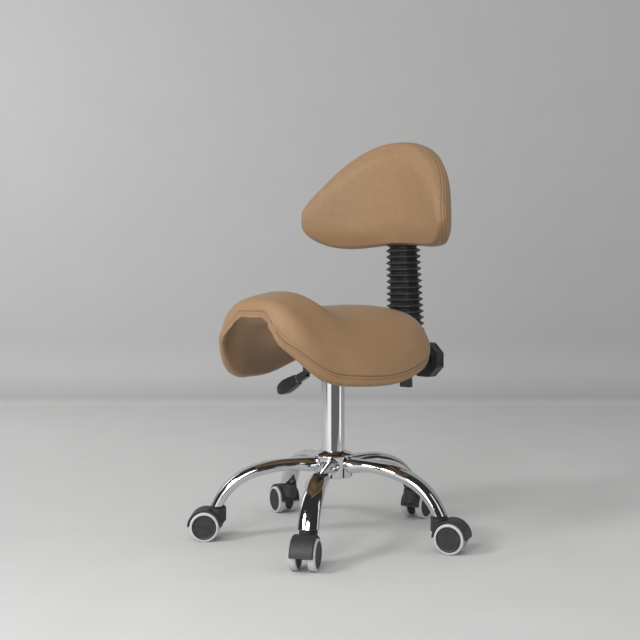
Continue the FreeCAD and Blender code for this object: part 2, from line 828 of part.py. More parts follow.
# Distance back from the front edge, half width at the seam, height of the seam and of the crown
# (shares of length, half width and rise), the crown's flat, the straight side above the seam,
# the seam's slope in degrees, the thickness in the middle and at the flank's edge, the band's
# height (shares of their own sizes), and the section's forward lean in degrees.
SEAT_STATIONS = (
    (0.000, 0.390, 0.560, 0.775, 0.36, 0.80, 40, 0.22, 0.26, 0.45, 14),
    (0.012, 0.475, 0.420, 0.845, 0.26, 0.60, 62, 0.42, 0.32, 0.70, 6),
    (0.045, 0.570, 0.310, 0.918, 0.16, 0.48, 80, 0.85, 0.48, 0.90, 1),
    (0.130, 0.700, 0.112, 0.978, 0.06, 0.46, 80, 1.25, 0.75, 1.00, 0),
    (0.210, 0.772, 0.025, 0.994, 0.04, 0.50, 80, 1.35, 0.90, 1.00, 0),
    (0.320, 0.885, -0.003, 0.848, 0.04, 0.40, 78, 1.60, 0.95, 1.00, 0),
    (0.450, 0.965, -0.006, 0.800, 0.04, 0.33, 77, 1.80, 0.95, 1.00, 0),
    (0.590, 1.000, 0.057, 0.811, 0.04, 0.30, 76, 1.80, 0.95, 1.00, 0),
    (0.730, 0.955, 0.190, 0.813, 0.04, 0.25, 74, 1.77, 0.92, 1.00, 0),
    (0.852, 0.770, 0.331, 0.768, 0.04, 0.20, 66, 1.40, 0.85, 1.00, 0),
    (0.936, 0.585, 0.414, 0.685, 0.04, 0.15, 54, 1.00, 0.70, 0.90, 0),
    (0.984, 0.360, 0.475, 0.600, 0.04, 0.12, 38, 0.66, 0.60, 0.70, 0),
    (1.000, 0.160, 0.500, 0.540, 0.04, 0.10, 22, 0.45, 0.50, 0.50, 0),
)
SEAT_HEM_SAG_SHARE = 0.2
SEAT_HEM_RISE_SHARE = 0.12


def seat_section(station):
    """The closed section of the saddle at one distance back from its front edge."""
    back, wide, seam_up, crown_up, flat, side, slope, thick, edge, hem, lean = station
    y = back * mm.seat_length - mm.seat_front
    slope = math.radians(slope)
    heading = Vector(math.cos(slope), 0, -math.sin(slope))
    crown = Vector(0, y, mm.seat_low + crown_up * mm.seat_rise)
    half_width = wide * mm.seat_half_width
    seam = Vector(half_width, y, mm.seat_low + seam_up * mm.seat_rise)
    shoulder = seam - heading * (side * mm.seat_side)
    flat_end = X_AXIS * (flat * half_width)
    belly = crown - Z_AXIS * (thick * mm.seat_thickness)
    band_end = seam - Z_AXIS * (hem * mm.seat_band) - X_AXIS * mm.seat_band_tuck
    edge_width = edge * mm.seat_edge_thickness
    inner = band_end - X_AXIS * edge_width + Z_AXIS * (edge_width * SEAT_HEM_RISE_SHARE)
    inner_shoulder = inner - heading * (side * mm.seat_side)
    bow = (band_end + inner) * 0.5 - Z_AXIS * (edge_width * SEAT_HEM_SAG_SHARE)
    half = [Part.LineSegment(crown, crown + flat_end).toShape()]
    half += smooth_pair(crown + flat_end, X_AXIS, shoulder, heading)
    half.append(Part.LineSegment(shoulder, seam).toShape())
    half.append(Part.LineSegment(seam, band_end).toShape())
    half.append(Part.Arc(band_end, bow, inner).toShape())
    half.append(Part.LineSegment(inner, inner_shoulder).toShape())
    half += smooth_pair(belly + flat_end, X_AXIS, inner_shoulder, heading)
    half.append(Part.LineSegment(belly + flat_end, belly).toShape())
    edges = half + [edge.mirror(ORIGIN, X_AXIS) for edge in half]
    section = Part.Wire(Part.__sortEdges__(edges))
    lean_forward = Matrix()
    lean_forward.A23 = math.tan(math.radians(lean))
    lean_forward.A24 = -crown.z * lean_forward.A23
    return section.transformGeometry(lean_forward)


def seat_loft():
    return Part.makeLoft([seat_section(station) for station in SEAT_STATIONS], True)


# Distance out from the middle and the outline's top and bottom (shares of half width and
# height), then the thickness (share of the thickness in the middle).
BACKREST_STATION_SHARES = (
    (0.00, 1.000, 0.020, 1.00),
    (0.28, 0.972, 0.012, 1.00),
    (0.49, 0.900, 0.000, 0.98),
    (0.66, 0.800, 0.002, 0.90),
    (0.80, 0.672, 0.028, 0.80),
    (0.91, 0.540, 0.085, 0.67),
    (0.975, 0.435, 0.155, 0.52),
    (1.000, 0.375, 0.210, 0.42),
)


BACKREST_SWELL_SHARE = 0.25


def backrest_crown():
    """How far the backrest's faces bulge beyond its side band."""
    return (mm.backrest_thickness - mm.backrest_edge_band) / 2


def backrest_underside():
    """The height of the backrest's lowest line in the middle."""
    low = mm.backrest_bottom + BACKREST_STATION_SHARES[0][2] * mm.backrest_height
    return low - backrest_crown() * BACKREST_SWELL_SHARE


def backrest_section(shares, side, inset, front, rear, crown):
    """A closed section of the backrest's form in the upright plane through its curve's axis."""
    out, top_up, bottom_up, thick = shares
    turn = math.asin(out * mm.backrest_half_width / mm.backrest_curve_radius) * side
    shrink = 1 - inset / mm.backrest_half_width
    turn = turn * shrink
    radial = Vector(math.sin(turn), math.cos(turn), 0)
    axis = Vector(0, mm.backrest_middle_y - mm.backrest_curve_radius, 0)
    top = mm.backrest_bottom + top_up * mm.backrest_height - inset
    low = mm.backrest_bottom + bottom_up * mm.backrest_height + inset

    def at(depth, height):
        return axis + radial * (mm.backrest_curve_radius + depth) + Z_AXIS * height

    front_seam = -front * thick
    rear_seam = rear * thick
    if crown <= 0:
        corners = [at(front_seam, low), at(front_seam, top), at(rear_seam, top),
                   at(rear_seam, low)]
        return Part.makePolygon(corners + [corners[0]])
    middle = (top + low) / 2
    bulge = crown * thick
    front_middle = at(front_seam - bulge, middle)
    rear_middle = at(rear_seam + bulge, middle)
    lean = 0.5
    out_top = Z_AXIS * math.cos(lean) + radial * math.sin(lean)
    out_low = radial * math.sin(lean) - Z_AXIS * math.cos(lean)
    edges = []
    edges += smooth_pair(front_middle, Z_AXIS, at(front_seam, top), out_top)
    edges += smooth_pair(front_middle, -Z_AXIS, at(front_seam, low), out_low)
    rear_top = Z_AXIS * math.cos(lean) - radial * math.sin(lean)
    rear_low = Z_AXIS * -math.cos(lean) - radial * math.sin(lean)
    edges += smooth_pair(rear_middle, Z_AXIS, at(rear_seam, top), rear_top)
    edges += smooth_pair(rear_middle, -Z_AXIS, at(rear_seam, low), rear_low)
    swell = bulge * BACKREST_SWELL_SHARE
    edges.append(Part.Arc(at(front_seam, top), at((front_seam + rear_seam) / 2, top + swell),
                          at(rear_seam, top)).toShape())
    edges.append(Part.Arc(at(front_seam, low), at((front_seam + rear_seam) / 2, low - swell),
                          at(rear_seam, low)).toShape())
    return Part.Wire(Part.__sortEdges__(edges))


def backrest_form(inset, front, rear, crown):
    """The backrest's outline, drawn in by an inset, from a front to a rear depth."""
    sections = [backrest_section(shares, -1, inset, front, rear, crown)
                for shares in reversed(BACKREST_STATION_SHARES)]
    sections += [backrest_section(shares, 1, inset, front, rear, crown)
                 for shares in BACKREST_STATION_SHARES[1:]]
    return Part.makeLoft(sections, True)


# Seat, mechanism and lever


def make_seat():
    board = new_body("seat_board")
    outline = sketch_on(board, "XY_Plane", "BoardOutline")
    half_width = bound.seat_board_width / 2
    front = -bound.seat_board_front
    back = bound.seat_board_length - bound.seat_board_front
    draw_outline(outline, [(-half_width, front), (half_width, front), (half_width, back),
                           (-half_width, back)])
    pad(board, outline, bound.seat_board_thickness)

    def upright_corner(middle):
        return near(middle.z, mm.seat_board_thickness / 2)

    round_edges(board, bound.seat_board_corner, upright_corner)
    holes = sketch_on(board, "XY_Plane", "BoardHoles")
    for x, y in plate_screw_places():
        draw_circle(holes, bound.screw_radius, x, y)
    pocket(board, holes, bound.screw_length, down=True)
    place(board, 0, 0, bound.seat_board_bottom)
    keep(board, "seat_board")

    top = mm.seat_board_bottom + mm.seat_board_thickness
    cushion = seat_loft()
    well = Part.makeBox(mm.seat_board_width, mm.seat_board_length, mm.seat_rise,
                        Vector(-mm.seat_board_width / 2, -mm.seat_board_front,
                               top - mm.seat_rise))
    upright_edges = [edge for edge in well.Edges if near(edge.BoundBox.ZLength, mm.seat_rise)]
    well = well.makeFillet(mm.seat_board_corner, upright_edges)
    cushion = cushion.cut(well)
    keep(shape_part("seat_cushion", cushion), "seat_cushion")


def plate_screw_places():
    """The four screws that hold the mechanism's plate to the board."""
    across = bound.housing_plate_width / 2 - bound.screw_inset
    front = bound.screw_inset - bound.housing_front
    back = front + bound.housing_plate_length - bound.screw_inset * 2
    return [(-across, front), (across, front), (across, back), (-across, back)]


def make_mechanism():
    housing = new_body("mechanism_housing")
    plate_low = bound.seat_board_bottom - bound.housing_plate
    half_width = bound.housing_width / 2
    front = -bound.housing_front
    back = bound.housing_length - bound.housing_front
    box = sketch_at(housing, "BoxOutline", bound.housing_bottom)
    draw_outline(box, [(-half_width, front), (half_width, front), (half_width, back),
                       (-half_width, back)])
    pad(housing, box, plate_low - bound.housing_bottom)
    floor_top = bound.housing_bottom + bound.housing_wall
    hollow = sketch_at(housing, "BoxHollow", floor_top)
    inner = half_width - bound.housing_wall
    draw_outline(hollow, [(-inner, front + bound.housing_wall),
                          (inner, front + bound.housing_wall),
                          (inner, back - bound.housing_wall),
                          (-inner, back - bound.housing_wall)])
    pocket(housing, hollow, plate_low - floor_top, down=True)
    plate = sketch_at(housing, "PlateOutline", plate_low)
    plate_half = bound.housing_plate_width / 2
    plate_back = bound.housing_plate_length - bound.housing_front
    draw_outline(plate, [(-plate_half, front), (plate_half, front), (plate_half, plate_back),
                         (-plate_half, plate_back)])
    pad(housing, plate, bound.housing_plate)
    socket = sketch_at(housing, "SocketOutline", bound.housing_bottom)
    socket_radius = bound.cylinder_radius + bound.housing_socket_wall
    draw_circle(socket, socket_radius)
    pad(housing, socket, bound.cylinder_top - bound.button_depth - bound.housing_bottom)
    taper = housing.newObject("PartDesign::SubtractiveCone", "SocketTaper")
    bind(taper, "Radius1", bound.cylinder_radius)
    bind(taper, "Radius2", bound.cylinder_radius - bound.cylinder_cone_narrowing)
    bind(taper, "Height", bound.cylinder_top - bound.cylinder_cone_bottom)
    taper.Placement = Placement(Vector(0, 0, mm.cylinder_cone_bottom), Rotation())
    taper.setExpression(".Placement.Base.z", "Sizes.cylinder_cone_bottom")
    slot_half = bound.lever_width / 2 + bound.running_clearance
    for side in (1, -1):
        ear = sketch_on(housing, "XZ_Plane", "PivotEar")
        offset = (slot_half + bound.housing_wall / 2) * side
        ear.AttachmentOffset = Placement(Vector(0, 0, number_of(offset)), Rotation())
        ear.setExpression(".AttachmentOffset.Base.z", offset.text)
        ear_edge = bound.lever_pivot_x - bound.lever_pivot_radius * 2
        ear_low = bound.lever_pivot_z - bound.lever_pivot_radius * 2
        draw_outline(ear, [(-inner, ear_low), (-ear_edge, ear_low), (-ear_edge, plate_low),
                           (-inner, plate_low)])
        pad(housing, ear, bound.housing_wall, middle=True)
    window = sketch_on(housing, "YZ_Plane", "LeverWindow")
    draw_outline(window, [(-slot_half, floor_top), (slot_half, floor_top),
                          (slot_half, plate_low - bound.running_clearance),
                          (-slot_half, plate_low - bound.running_clearance)])
    pocket(housing, window, bound.housing_width, down=False)
    holes = sketch_at(housing, "PlateHoles", plate_low)
    for x, y in plate_screw_places():
        draw_circle(holes, bound.screw_radius, x, y)
    pocket(housing, holes, bound.housing_plate * 2, down=True)
    pin_hole = sketch_on(housing, "XZ_Plane", "PivotHole")
    draw_circle(pin_hole, bound.lever_pivot_radius, -bound.lever_pivot_x,
                bound.lever_pivot_z)
    pocket(housing, pin_hole, bound.housing_width, middle=True)
    keep(housing, "mechanism_housing")


def sketch_at(body, name, height):
    """A level sketch at a bound height."""
    sketch = sketch_on(body, "XY_Plane", name)
    sketch.AttachmentOffset = Placement(Vector(0, 0, number_of(height)), Rotation())
    sketch.setExpression(".AttachmentOffset.Base.z", height.text)
    return sketch


def strip(points, thickness, width):
    """A flat bar bent along points in the plane y = 0."""
    upper = []
    lower = []
    count = len(points)
    for i, point in enumerate(points):
        before = points[max(i - 1, 0)]
        after = points[min(i + 1, count - 1)]
        ahead = (after - point) if i < count - 1 else (point - before)
        behind = (point - before) if i > 0 else ahead
        ahead.normalize()
        behind.normalize()
        side = Y_AXIS.cross(ahead) + Y_AXIS.cross(behind)
        side.normalize()
        reach = thickness / 2 / side.dot(Y_AXIS.cross(ahead))
        upper.append(point + side * reach)
        lower.append(point - side * reach)
    corners = upper + lower[::-1]
    face = Part.Face(Part.makePolygon(corners + [corners[0]]))
    solid = face.extrude(Y_AXIS * width)
    solid.translate(Y_AXIS * (-width / 2))
    return solid


def lever_line():
    """The lever's centreline from its nose above the button to its tip."""
    button_top = mm.cylinder_top - mm.button_depth / 3 + mm.button_height
    nose_z = button_top + mm.lever_nose_gap + mm.lever_thickness / 2
    bend = Vector(-mm.lever_bend_x, 0, mm.lever_bend_z)
    tip = Vector(-mm.lever_tip_x, 0, mm.lever_tip_z)
    share = (mm.lever_rod_end_x - mm.lever_bend_x) / (mm.lever_tip_x - mm.lever_bend_x)
    return [Vector(mm.lever_nose_x, 0, nose_z), Vector(-mm.lever_knee_x, 0, nose_z), bend,
            bend + (tip - bend) * share, tip]


# Distance from the paddle's tip, width and thickness (shares of its length, width, thickness).
PADDLE_STATION_SHARES = (
    (0.00, 0.40, 0.34), (0.02, 0.58, 0.52), (0.07, 0.77, 0.71), (0.16, 0.92, 0.87),
    (0.26, 0.99, 0.97), (0.36, 1.00, 1.00), (0.47, 0.93, 1.00), (0.58, 0.82, 0.99),
    (0.69, 0.71, 0.96), (0.82, 0.65, 0.92), (1.00, 0.64, 0.90))


def make_lever():
    line = lever_line()
    rod = strip(line[:4], mm.lever_thickness, mm.lever_width)
    hole_radius = mm.lever_pivot_radius + mm.running_clearance / 2
    hole = Part.makeCylinder(hole_radius, mm.lever_width * 2,
                             Vector(-mm.lever_pivot_x, -mm.lever_width, mm.lever_pivot_z),
                             Y_AXIS)
    boss = Part.makeCylinder(mm.lever_pivot_radius * 1.8, mm.lever_width,
                             Vector(-mm.lever_pivot_x, -mm.lever_width / 2, mm.lever_pivot_z),
                             Y_AXIS)
    rod = rod.fuse(boss).cut(hole)
    keep(shape_part("lever_rod", rod), "lever_rod")

    along = line[2] - line[4]
    along.normalize()
    up = Y_AXIS.cross(along) * -1
    sections = []
    for back, wide, thick in PADDLE_STATION_SHARES:
        centre = line[4] + along * (back * mm.paddle_length)
        half_width = wide * mm.paddle_width / 2
        half_depth = thick * mm.paddle_thickness / 2
        ellipse = Part.Ellipse(centre + Y_AXIS * half_width, centre + up * half_depth, centre)
        sections.append(Part.Wire([ellipse.toShape()]))
    paddle = Part.makeLoft(sections, True, True).cut(rod)
    keep(shape_part("lever_paddle", paddle), "lever_paddle")

    ear_reach = bound.lever_width / 2 + bound.running_clearance + bound.housing_wall * 1.3
    pin = turned_part("lever_pivot", [
        (0, -ear_reach), (bound.lever_pivot_radius, -ear_reach),
        (bound.lever_pivot_radius, ear_reach), (0, ear_reach)],
        -bound.lever_pivot_x, 0, bound.lever_pivot_z, Rotation(X_AXIS, 90))
    keep(pin, "lever_pivot")

    head_top = bound.screw_head_height
    screw = turned_part("plate_screw_form", [
        (0, -head_top), (bound.screw_head_radius / 2, -head_top),
        (bound.screw_head_radius, -head_top / 2), (bound.screw_head_radius, 0),
        (bound.screw_radius, 0), (bound.screw_radius, bound.screw_length),
        (0, bound.screw_length)])
    copies = []
    for i, (x, y) in enumerate(plate_screw_places()):
        copy = document.addObject("Part::Compound", "plate_screw_{}".format(i + 1))
        copy.Links = [screw]
        place(copy, x, y, bound.seat_board_bottom - bound.housing_plate)
        copies.append(copy)
    screws = document.addObject("Part::Compound", "mechanism_screws")
    screws.Links = copies
    keep(screws, "mechanism_screws")


# Back


def lean():
    """The lean of the upright and all that it carries, about the sleeve's top."""
    pivot = Vector(0, mm.upright_y, mm.sleeve_top)
    return Placement(ORIGIN, Rotation(X_AXIS, mm.back_slide_lean), pivot)


def box_about(name, wide, deep, low, high, y, leaning=True):
    """A box centred on x = 0 and on y, between two heights."""
    item = document.addObject("Part::Box", name)
    bind(item, "Length", wide)
    bind(item, "Width", deep)
    bind(item, "Height", high - low)
    base = Placement(Vector(-number_of(wide) / 2, number_of(y - deep / 2), number_of(low)),
                     Rotation())
    item.Placement = lean() * base if leaning else base
    return item


def boolean(kind, name, first, second):
    item = document.addObject(kind, name)
    if kind == "Part::Cut":
        item.Base = first
        item.Tool = second
    else:
        item.Shapes = [first, second]
    return item


def make_back_frame():
    gap = bound.sleeve_clearance * 2
    slot_wide = bound.upright_width + gap
    slot_deep = bound.upright_depth + gap
    wall = bound.sleeve_wall * 2
    sleeve = box_about("SleeveBlock", slot_wide + wall, slot_deep + wall, bound.sleeve_bottom,
                       bound.sleeve_top, bound.upright_y)
    rounded = document.addObject("Part::Fillet", "SleeveRounded")
    rounded.Base = sleeve
    document.recompute()
    edge_radius = mm.sleeve_wall / 2
    rounded.Edges = [(i, edge_radius, edge_radius)
                     for i, edge in enumerate(sleeve.Shape.Edges, start=1)
                     if near(edge.Length, mm.sleeve_top - mm.sleeve_bottom)]
    arm = document.addObject("Part::Box", "ArmBar")
    arm_front = bound.housing_length - bound.housing_front
    arm_back = bound.upright_y - slot_deep / 2 - bound.sleeve_wall / 2
    bind(arm, "Length", bound.arm_width)
    bind(arm, "Width", arm_back - arm_front)
    bind(arm, "Height", bound.arm_thickness)
    place(arm, -(bound.arm_width / 2), arm_front, bound.arm_height - bound.arm_thickness)
    joined = boolean("Part::MultiFuse", "ArmWithSleeve", arm, rounded)
    slot = box_about("SleeveSlot", slot_wide, slot_deep,
                     bound.sleeve_bottom - bound.sleeve_wall,
                     bound.sleeve_top + bound.sleeve_wall, bound.upright_y)
    slotted = boolean("Part::Cut", "SlottedSleeve", joined, slot)
    stud_hole = document.addObject("Part::Cylinder", "StudHole")
    bind(stud_hole, "Radius", bound.knob_stud_radius + bound.sleeve_clearance)
    bind(stud_hole, "Height", bound.knob_face_y - bound.upright_y)
    place(stud_hole, 0, bound.upright_y, bound.knob_height, Rotation(X_AXIS, -90))
    keep(boolean("Part::Cut", "back_arm", slotted, stud_hole), "back_arm")

    bar = box_about("BarBlank", bound.upright_width, bound.upright_depth,
                    bound.upright_bottom, bound.upright_bottom + bound.upright_length,
                    bound.upright_y)
    bar_rounded = document.addObject("Part::Fillet", "upright_bar")
    bar_rounded.Base = bar
    document.recompute()
    bar_edge = mm.upright_depth / 8
    bar_rounded.Edges = [(i, bar_edge, bar_edge)
                         for i, edge in enumerate(bar.Shape.Edges, start=1)
                         if near(edge.Length, mm.upright_length)]
    keep(bar_rounded, "upright_bar")
    make_knob()
    make_bellows()


def make_knob():
    """The lobed clamp knob with its collar and stud, along its own turning axis."""
    knob = new_body("clamp_knob")
    slope = math.tan(math.radians(mm.back_slide_lean))
    bar_back = (bound.sleeve_top - bound.knob_height) * slope + bound.upright_depth / 2
    stud_tip = bound.upright_y + bar_back + bound.sleeve_clearance * 2
    sleeve_back = bound.upright_y + bar_back + bound.sleeve_clearance + bound.sleeve_wall
    face = bound.knob_face_y - stud_tip
    collar = sleeve_back + bound.knob_collar_gap - stud_tip
    head = face - bound.knob_thickness
    rounding = bound.knob_rounding
    revolve(knob, [
        (0, 0), (bound.knob_stud_radius, 0), (bound.knob_stud_radius, collar),
        (bound.knob_collar_radius * 0.75, collar), (bound.knob_collar_radius, head - rounding),
        (bound.knob_radius - rounding * 2, head), (bound.knob_radius, head + rounding),
        (bound.knob_radius, face - rounding), (bound.knob_radius - rounding, face),
        (bound.knob_collar_radius, face - rounding / 2), (0, face - rounding / 2)])
    scallop = sketch_at(knob, "Scallop", head - rounding)
    draw_circle(scallop, bound.knob_scallop_radius,
                bound.knob_radius + bound.knob_scallop_radius * 0.62, 0)
    cutting = pocket(knob, scallop, bound.knob_thickness * 2, down=True)
    pattern = knob.newObject("PartDesign::PolarPattern", "Lobes")
    pattern.Originals = [cutting]
    pattern.Axis = (scallop, ["N_Axis"])
    pattern.Angle = 360
    pattern.Occurrences = int(mm.knob_lobes)
    knob.Tip = pattern
    place(knob, 0, stud_tip, bound.knob_height, Rotation(X_AXIS, -90))
    keep(knob, "clamp_knob")


def bellows_ring(height, inset, share):
    """A level rectangle with cut corners round the upright, a share of the way up."""
    width = mm.bellows_width + (mm.bellows_top_width - mm.bellows_width) * share
    depth = mm.bellows_depth + (mm.bellows_top_depth - mm.bellows_depth) * share
    half_width = width / 2 - inset
    half_depth = depth / 2 - inset
    corner = mm.bellows_pleat / 2
    quarter = [(half_width, half_depth - corner), (half_width - corner, half_depth)]
    outline = quarter + [(-x, y) for x, y in reversed(quarter)]
    outline += [(-x, -y) for x, y in quarter] + [(x, -y) for x, y in reversed(quarter)]
    middle = mm.upright_y + mm.bellows_setback
    points = [Vector(x, middle + y, height) for x, y in outline]
    return Part.makePolygon(points + [points[0]])


def make_bellows():
    """The pleated sleeve between the clamp and the backrest, as a ruled loft."""
    count = int(mm.bellows_pleats)
    low = mm.bellows_bottom
    high = backrest_underside() - mm.soft_clearance * 2
    pitch = (high - low) / count

    def pleated(wall):
        rings = [bellows_ring(low, wall, 0.0)]
        for i in range(count):
            fold = (i + 0.5) / count
            rings.append(bellows_ring(low + pitch * (i + 0.5), mm.bellows_pleat + wall, fold))
            rings.append(bellows_ring(low + pitch * (i + 1), wall, (i + 1) / count))
        return Part.makeLoft(rings, True, True)

    shape = pleated(0.0).cut(pleated(mm.bellows_wall))
    item = shape_part("bellows", shape)
    item.Placement = lean()
    keep(item, "bellows")


def make_backrest():
    bar_face = mm.upright_y - mm.upright_depth / 2
    bracket_face = bar_face - mm.bracket_thickness
    board_front = mm.backrest_middle_y - bracket_face + mm.backrest_board_thickness
    board_rear = bracket_face - mm.backrest_middle_y
    board = backrest_form(mm.backrest_board_margin, board_front, board_rear, 0.0)
    bracket = Part.makeBox(mm.bracket_width, mm.bracket_thickness, mm.bracket_height,
                           Vector(-mm.bracket_width / 2, bracket_face, mm.bracket_bottom))
    board = board.cut(bracket)
    bar_top = mm.upright_bottom + mm.upright_length
    space = mm.soft_clearance
    bar_space = Part.makeBox(mm.upright_width + space * 2, mm.upright_depth + space * 2,
                             bar_top + space - mm.bellows_bottom,
                             Vector(-mm.upright_width / 2 - space, bar_face - space,
                                    mm.bellows_bottom))
    band = mm.backrest_edge_band / 2
    cushion = backrest_form(0.0, band, band, backrest_crown())
    cushion = cushion.cut(board).cut(bracket).cut(bar_space)
    for label, shape in (("backrest_board", board), ("back_bracket", bracket),
                         ("backrest_cushion", cushion)):
        item = shape_part(label, shape)
        item.Placement = lean()
        keep(item, label)


def write_parts():
    """Checks every object, then writes each sub-part to its own file."""
    document.recompute()
    for item in document.Objects:
        bad = [state for state in item.State if state in ("Invalid", "Error")]
        if bad:
            raise RuntimeError("{} failed: {}".format(item.Label, item.State))
    for item in kept:
        if item.Shape.isNull() or not item.Shape.isValid():
            raise RuntimeError("{} has no valid shape".format(item.Label))
    os.makedirs("parts", exist_ok=True)
    for item in kept:
        item.Shape.exportStep("parts/{}.step".format(item.Label))
        print("{:28s} {:3d} solids {:12.0f} mm3".format(
            item.Label, len(item.Shape.Solids), item.Shape.Volume))
    print(len(kept), "nodes")


make_base()
make_gas_lift()
make_casters()
make_seat()
make_mechanism()
make_lever()
make_back_frame()
make_backrest()
write_parts()
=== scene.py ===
"""Saddle stool with a backrest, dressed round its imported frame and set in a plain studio."""

import json
import math

import bmesh
import bpy
from mathutils import Matrix, Vector
from mathutils.bvhtree import BVHTree
from mathutils.kdtree import KDTree


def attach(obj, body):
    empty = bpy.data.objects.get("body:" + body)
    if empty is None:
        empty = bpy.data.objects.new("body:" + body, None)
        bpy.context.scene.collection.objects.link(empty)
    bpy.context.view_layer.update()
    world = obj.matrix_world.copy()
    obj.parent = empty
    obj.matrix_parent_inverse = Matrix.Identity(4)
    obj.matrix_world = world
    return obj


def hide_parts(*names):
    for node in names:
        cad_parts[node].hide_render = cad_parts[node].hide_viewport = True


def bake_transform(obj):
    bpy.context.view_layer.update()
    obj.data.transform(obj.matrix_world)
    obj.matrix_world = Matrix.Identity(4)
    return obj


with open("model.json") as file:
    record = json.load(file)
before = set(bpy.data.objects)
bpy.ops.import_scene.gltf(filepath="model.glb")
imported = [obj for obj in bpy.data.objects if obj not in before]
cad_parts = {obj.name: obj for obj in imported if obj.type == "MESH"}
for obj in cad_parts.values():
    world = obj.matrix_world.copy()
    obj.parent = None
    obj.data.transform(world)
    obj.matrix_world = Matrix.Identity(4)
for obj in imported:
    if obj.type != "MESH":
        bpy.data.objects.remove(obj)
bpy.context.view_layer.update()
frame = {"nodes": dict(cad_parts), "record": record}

bl_info = {
    "name": "Saddle Stool",
    "version": (1, 0, 0),
    "blender": (4, 5, 0),
    "location": "3D View > Sidebar > Stool",
    "description": "Upholstery, bellows, lever grip and finishes of a saddle stool",
    "category": "Object",
}

MM = 0.001


# Sizes and colours that a user would change

class StoolSizes(bpy.types.PropertyGroup):
    """Sizes of the stool's soft and moulded pieces."""

    foam_voxel: bpy.props.FloatProperty(
        name="Foam mesh size", description="Spacing of the cushions' surface before sewing",
        default=4.6 * MM, min=3 * MM, max=8 * MM, unit="LENGTH")
    foam_pressure: bpy.props.FloatProperty(
        name="Foam pressure", description="How firmly the foam fills its leather cover",
        default=4.0, min=0.0, max=10.0)
    seat_swell: bpy.props.FloatProperty(
        name="Seat swell", description="How far the seat's leather may swell",
        default=2.2 * MM, unit="LENGTH")
    back_swell: bpy.props.FloatProperty(
        name="Backrest swell", description="How far the backrest's leather may swell",
        default=4.5 * MM, unit="LENGTH")
    seam_depth: bpy.props.FloatProperty(
        name="Seam depth", description="How deep a sewn seam draws the leather in",
        default=1.5 * MM, unit="LENGTH")
    seam_width: bpy.props.FloatProperty(
        name="Seam width", description="Half width of the furrow along a seam",
        default=1.7 * MM, unit="LENGTH")
    stitch_setback: bpy.props.FloatProperty(
        name="Stitch setback", description="Distance of the topstitching below the seat's seam",
        default=6.0 * MM, unit="LENGTH")
    stitch_pitch: bpy.props.FloatProperty(
        name="Stitch pitch", description="Distance from one stitch to the next",
        default=4.2 * MM, unit="LENGTH")
    stitch_length: bpy.props.FloatProperty(
        name="Stitch length", description="Length of thread that shows at each stitch",
        default=3.1 * MM, unit="LENGTH")
    back_seam_gap: bpy.props.FloatProperty(
        name="Backrest seam gap", description="Between the two seams round the backrest",
        default=7.4 * MM, unit="LENGTH")
    knob_scoop: bpy.props.FloatProperty(
        name="Knob scoop", description="How deep the knob's finger scoops are",
        default=1.4 * MM, unit="LENGTH")
    bellows_wall: bpy.props.FloatProperty(
        name="Bellows wall", description="Thickness of the rubber", default=1.2 * MM,
        unit="LENGTH")


class StoolColours(bpy.types.PropertyGroup):
    """Colours of the stool's finishes, as sRGB hex values."""

    leather: bpy.props.StringProperty(
        name="Leather", description="Tan upholstery leather", default="#927352")
    # Besides the cloudy tone, a deep shade of this colour is the painted shade in the seams'
    # folds.
    leather_dark: bpy.props.StringProperty(
        name="Leather, rubbed", description="Where hands and seams have darkened the leather",
        default="#7f6140")
    thread: bpy.props.StringProperty(
        name="Thread", description="Bonded nylon thread of the topstitching", default="#694b2d")
    chrome: bpy.props.StringProperty(
        name="Chrome", description="Bright chrome plate", default="#dcdddf")
    steel: bpy.props.StringProperty(
        name="Steel", description="Bare turned steel", default="#9b9c9e")
    black_paint: bpy.props.StringProperty(
        name="Black paint", description="Satin powder coat on the mechanism", default="#111112")
    black_plastic: bpy.props.StringProperty(
        name="Black plastic", description="Moulded glass-filled nylon", default="#1d1d1e")
    hood_plastic: bpy.props.StringProperty(
        name="Hood plastic", description="Textured nylon of the caster hoods", default="#1c1d1f")
    rubber: bpy.props.StringProperty(
        name="Rubber", description="Moulded rubber of the bellows", default="#111112")
    tread: bpy.props.StringProperty(
        name="Tread", description="Soft grey polyurethane of the wheels' treads",
        default="#b4b5b6")
    release: bpy.props.StringProperty(
        name="Release button", description="Dyed plastic of the gas lift's button",
        default="#8c2a22")
    plywood: bpy.props.StringProperty(
        name="Plywood", description="Birch plywood of the hidden boards", default="#c3a379")


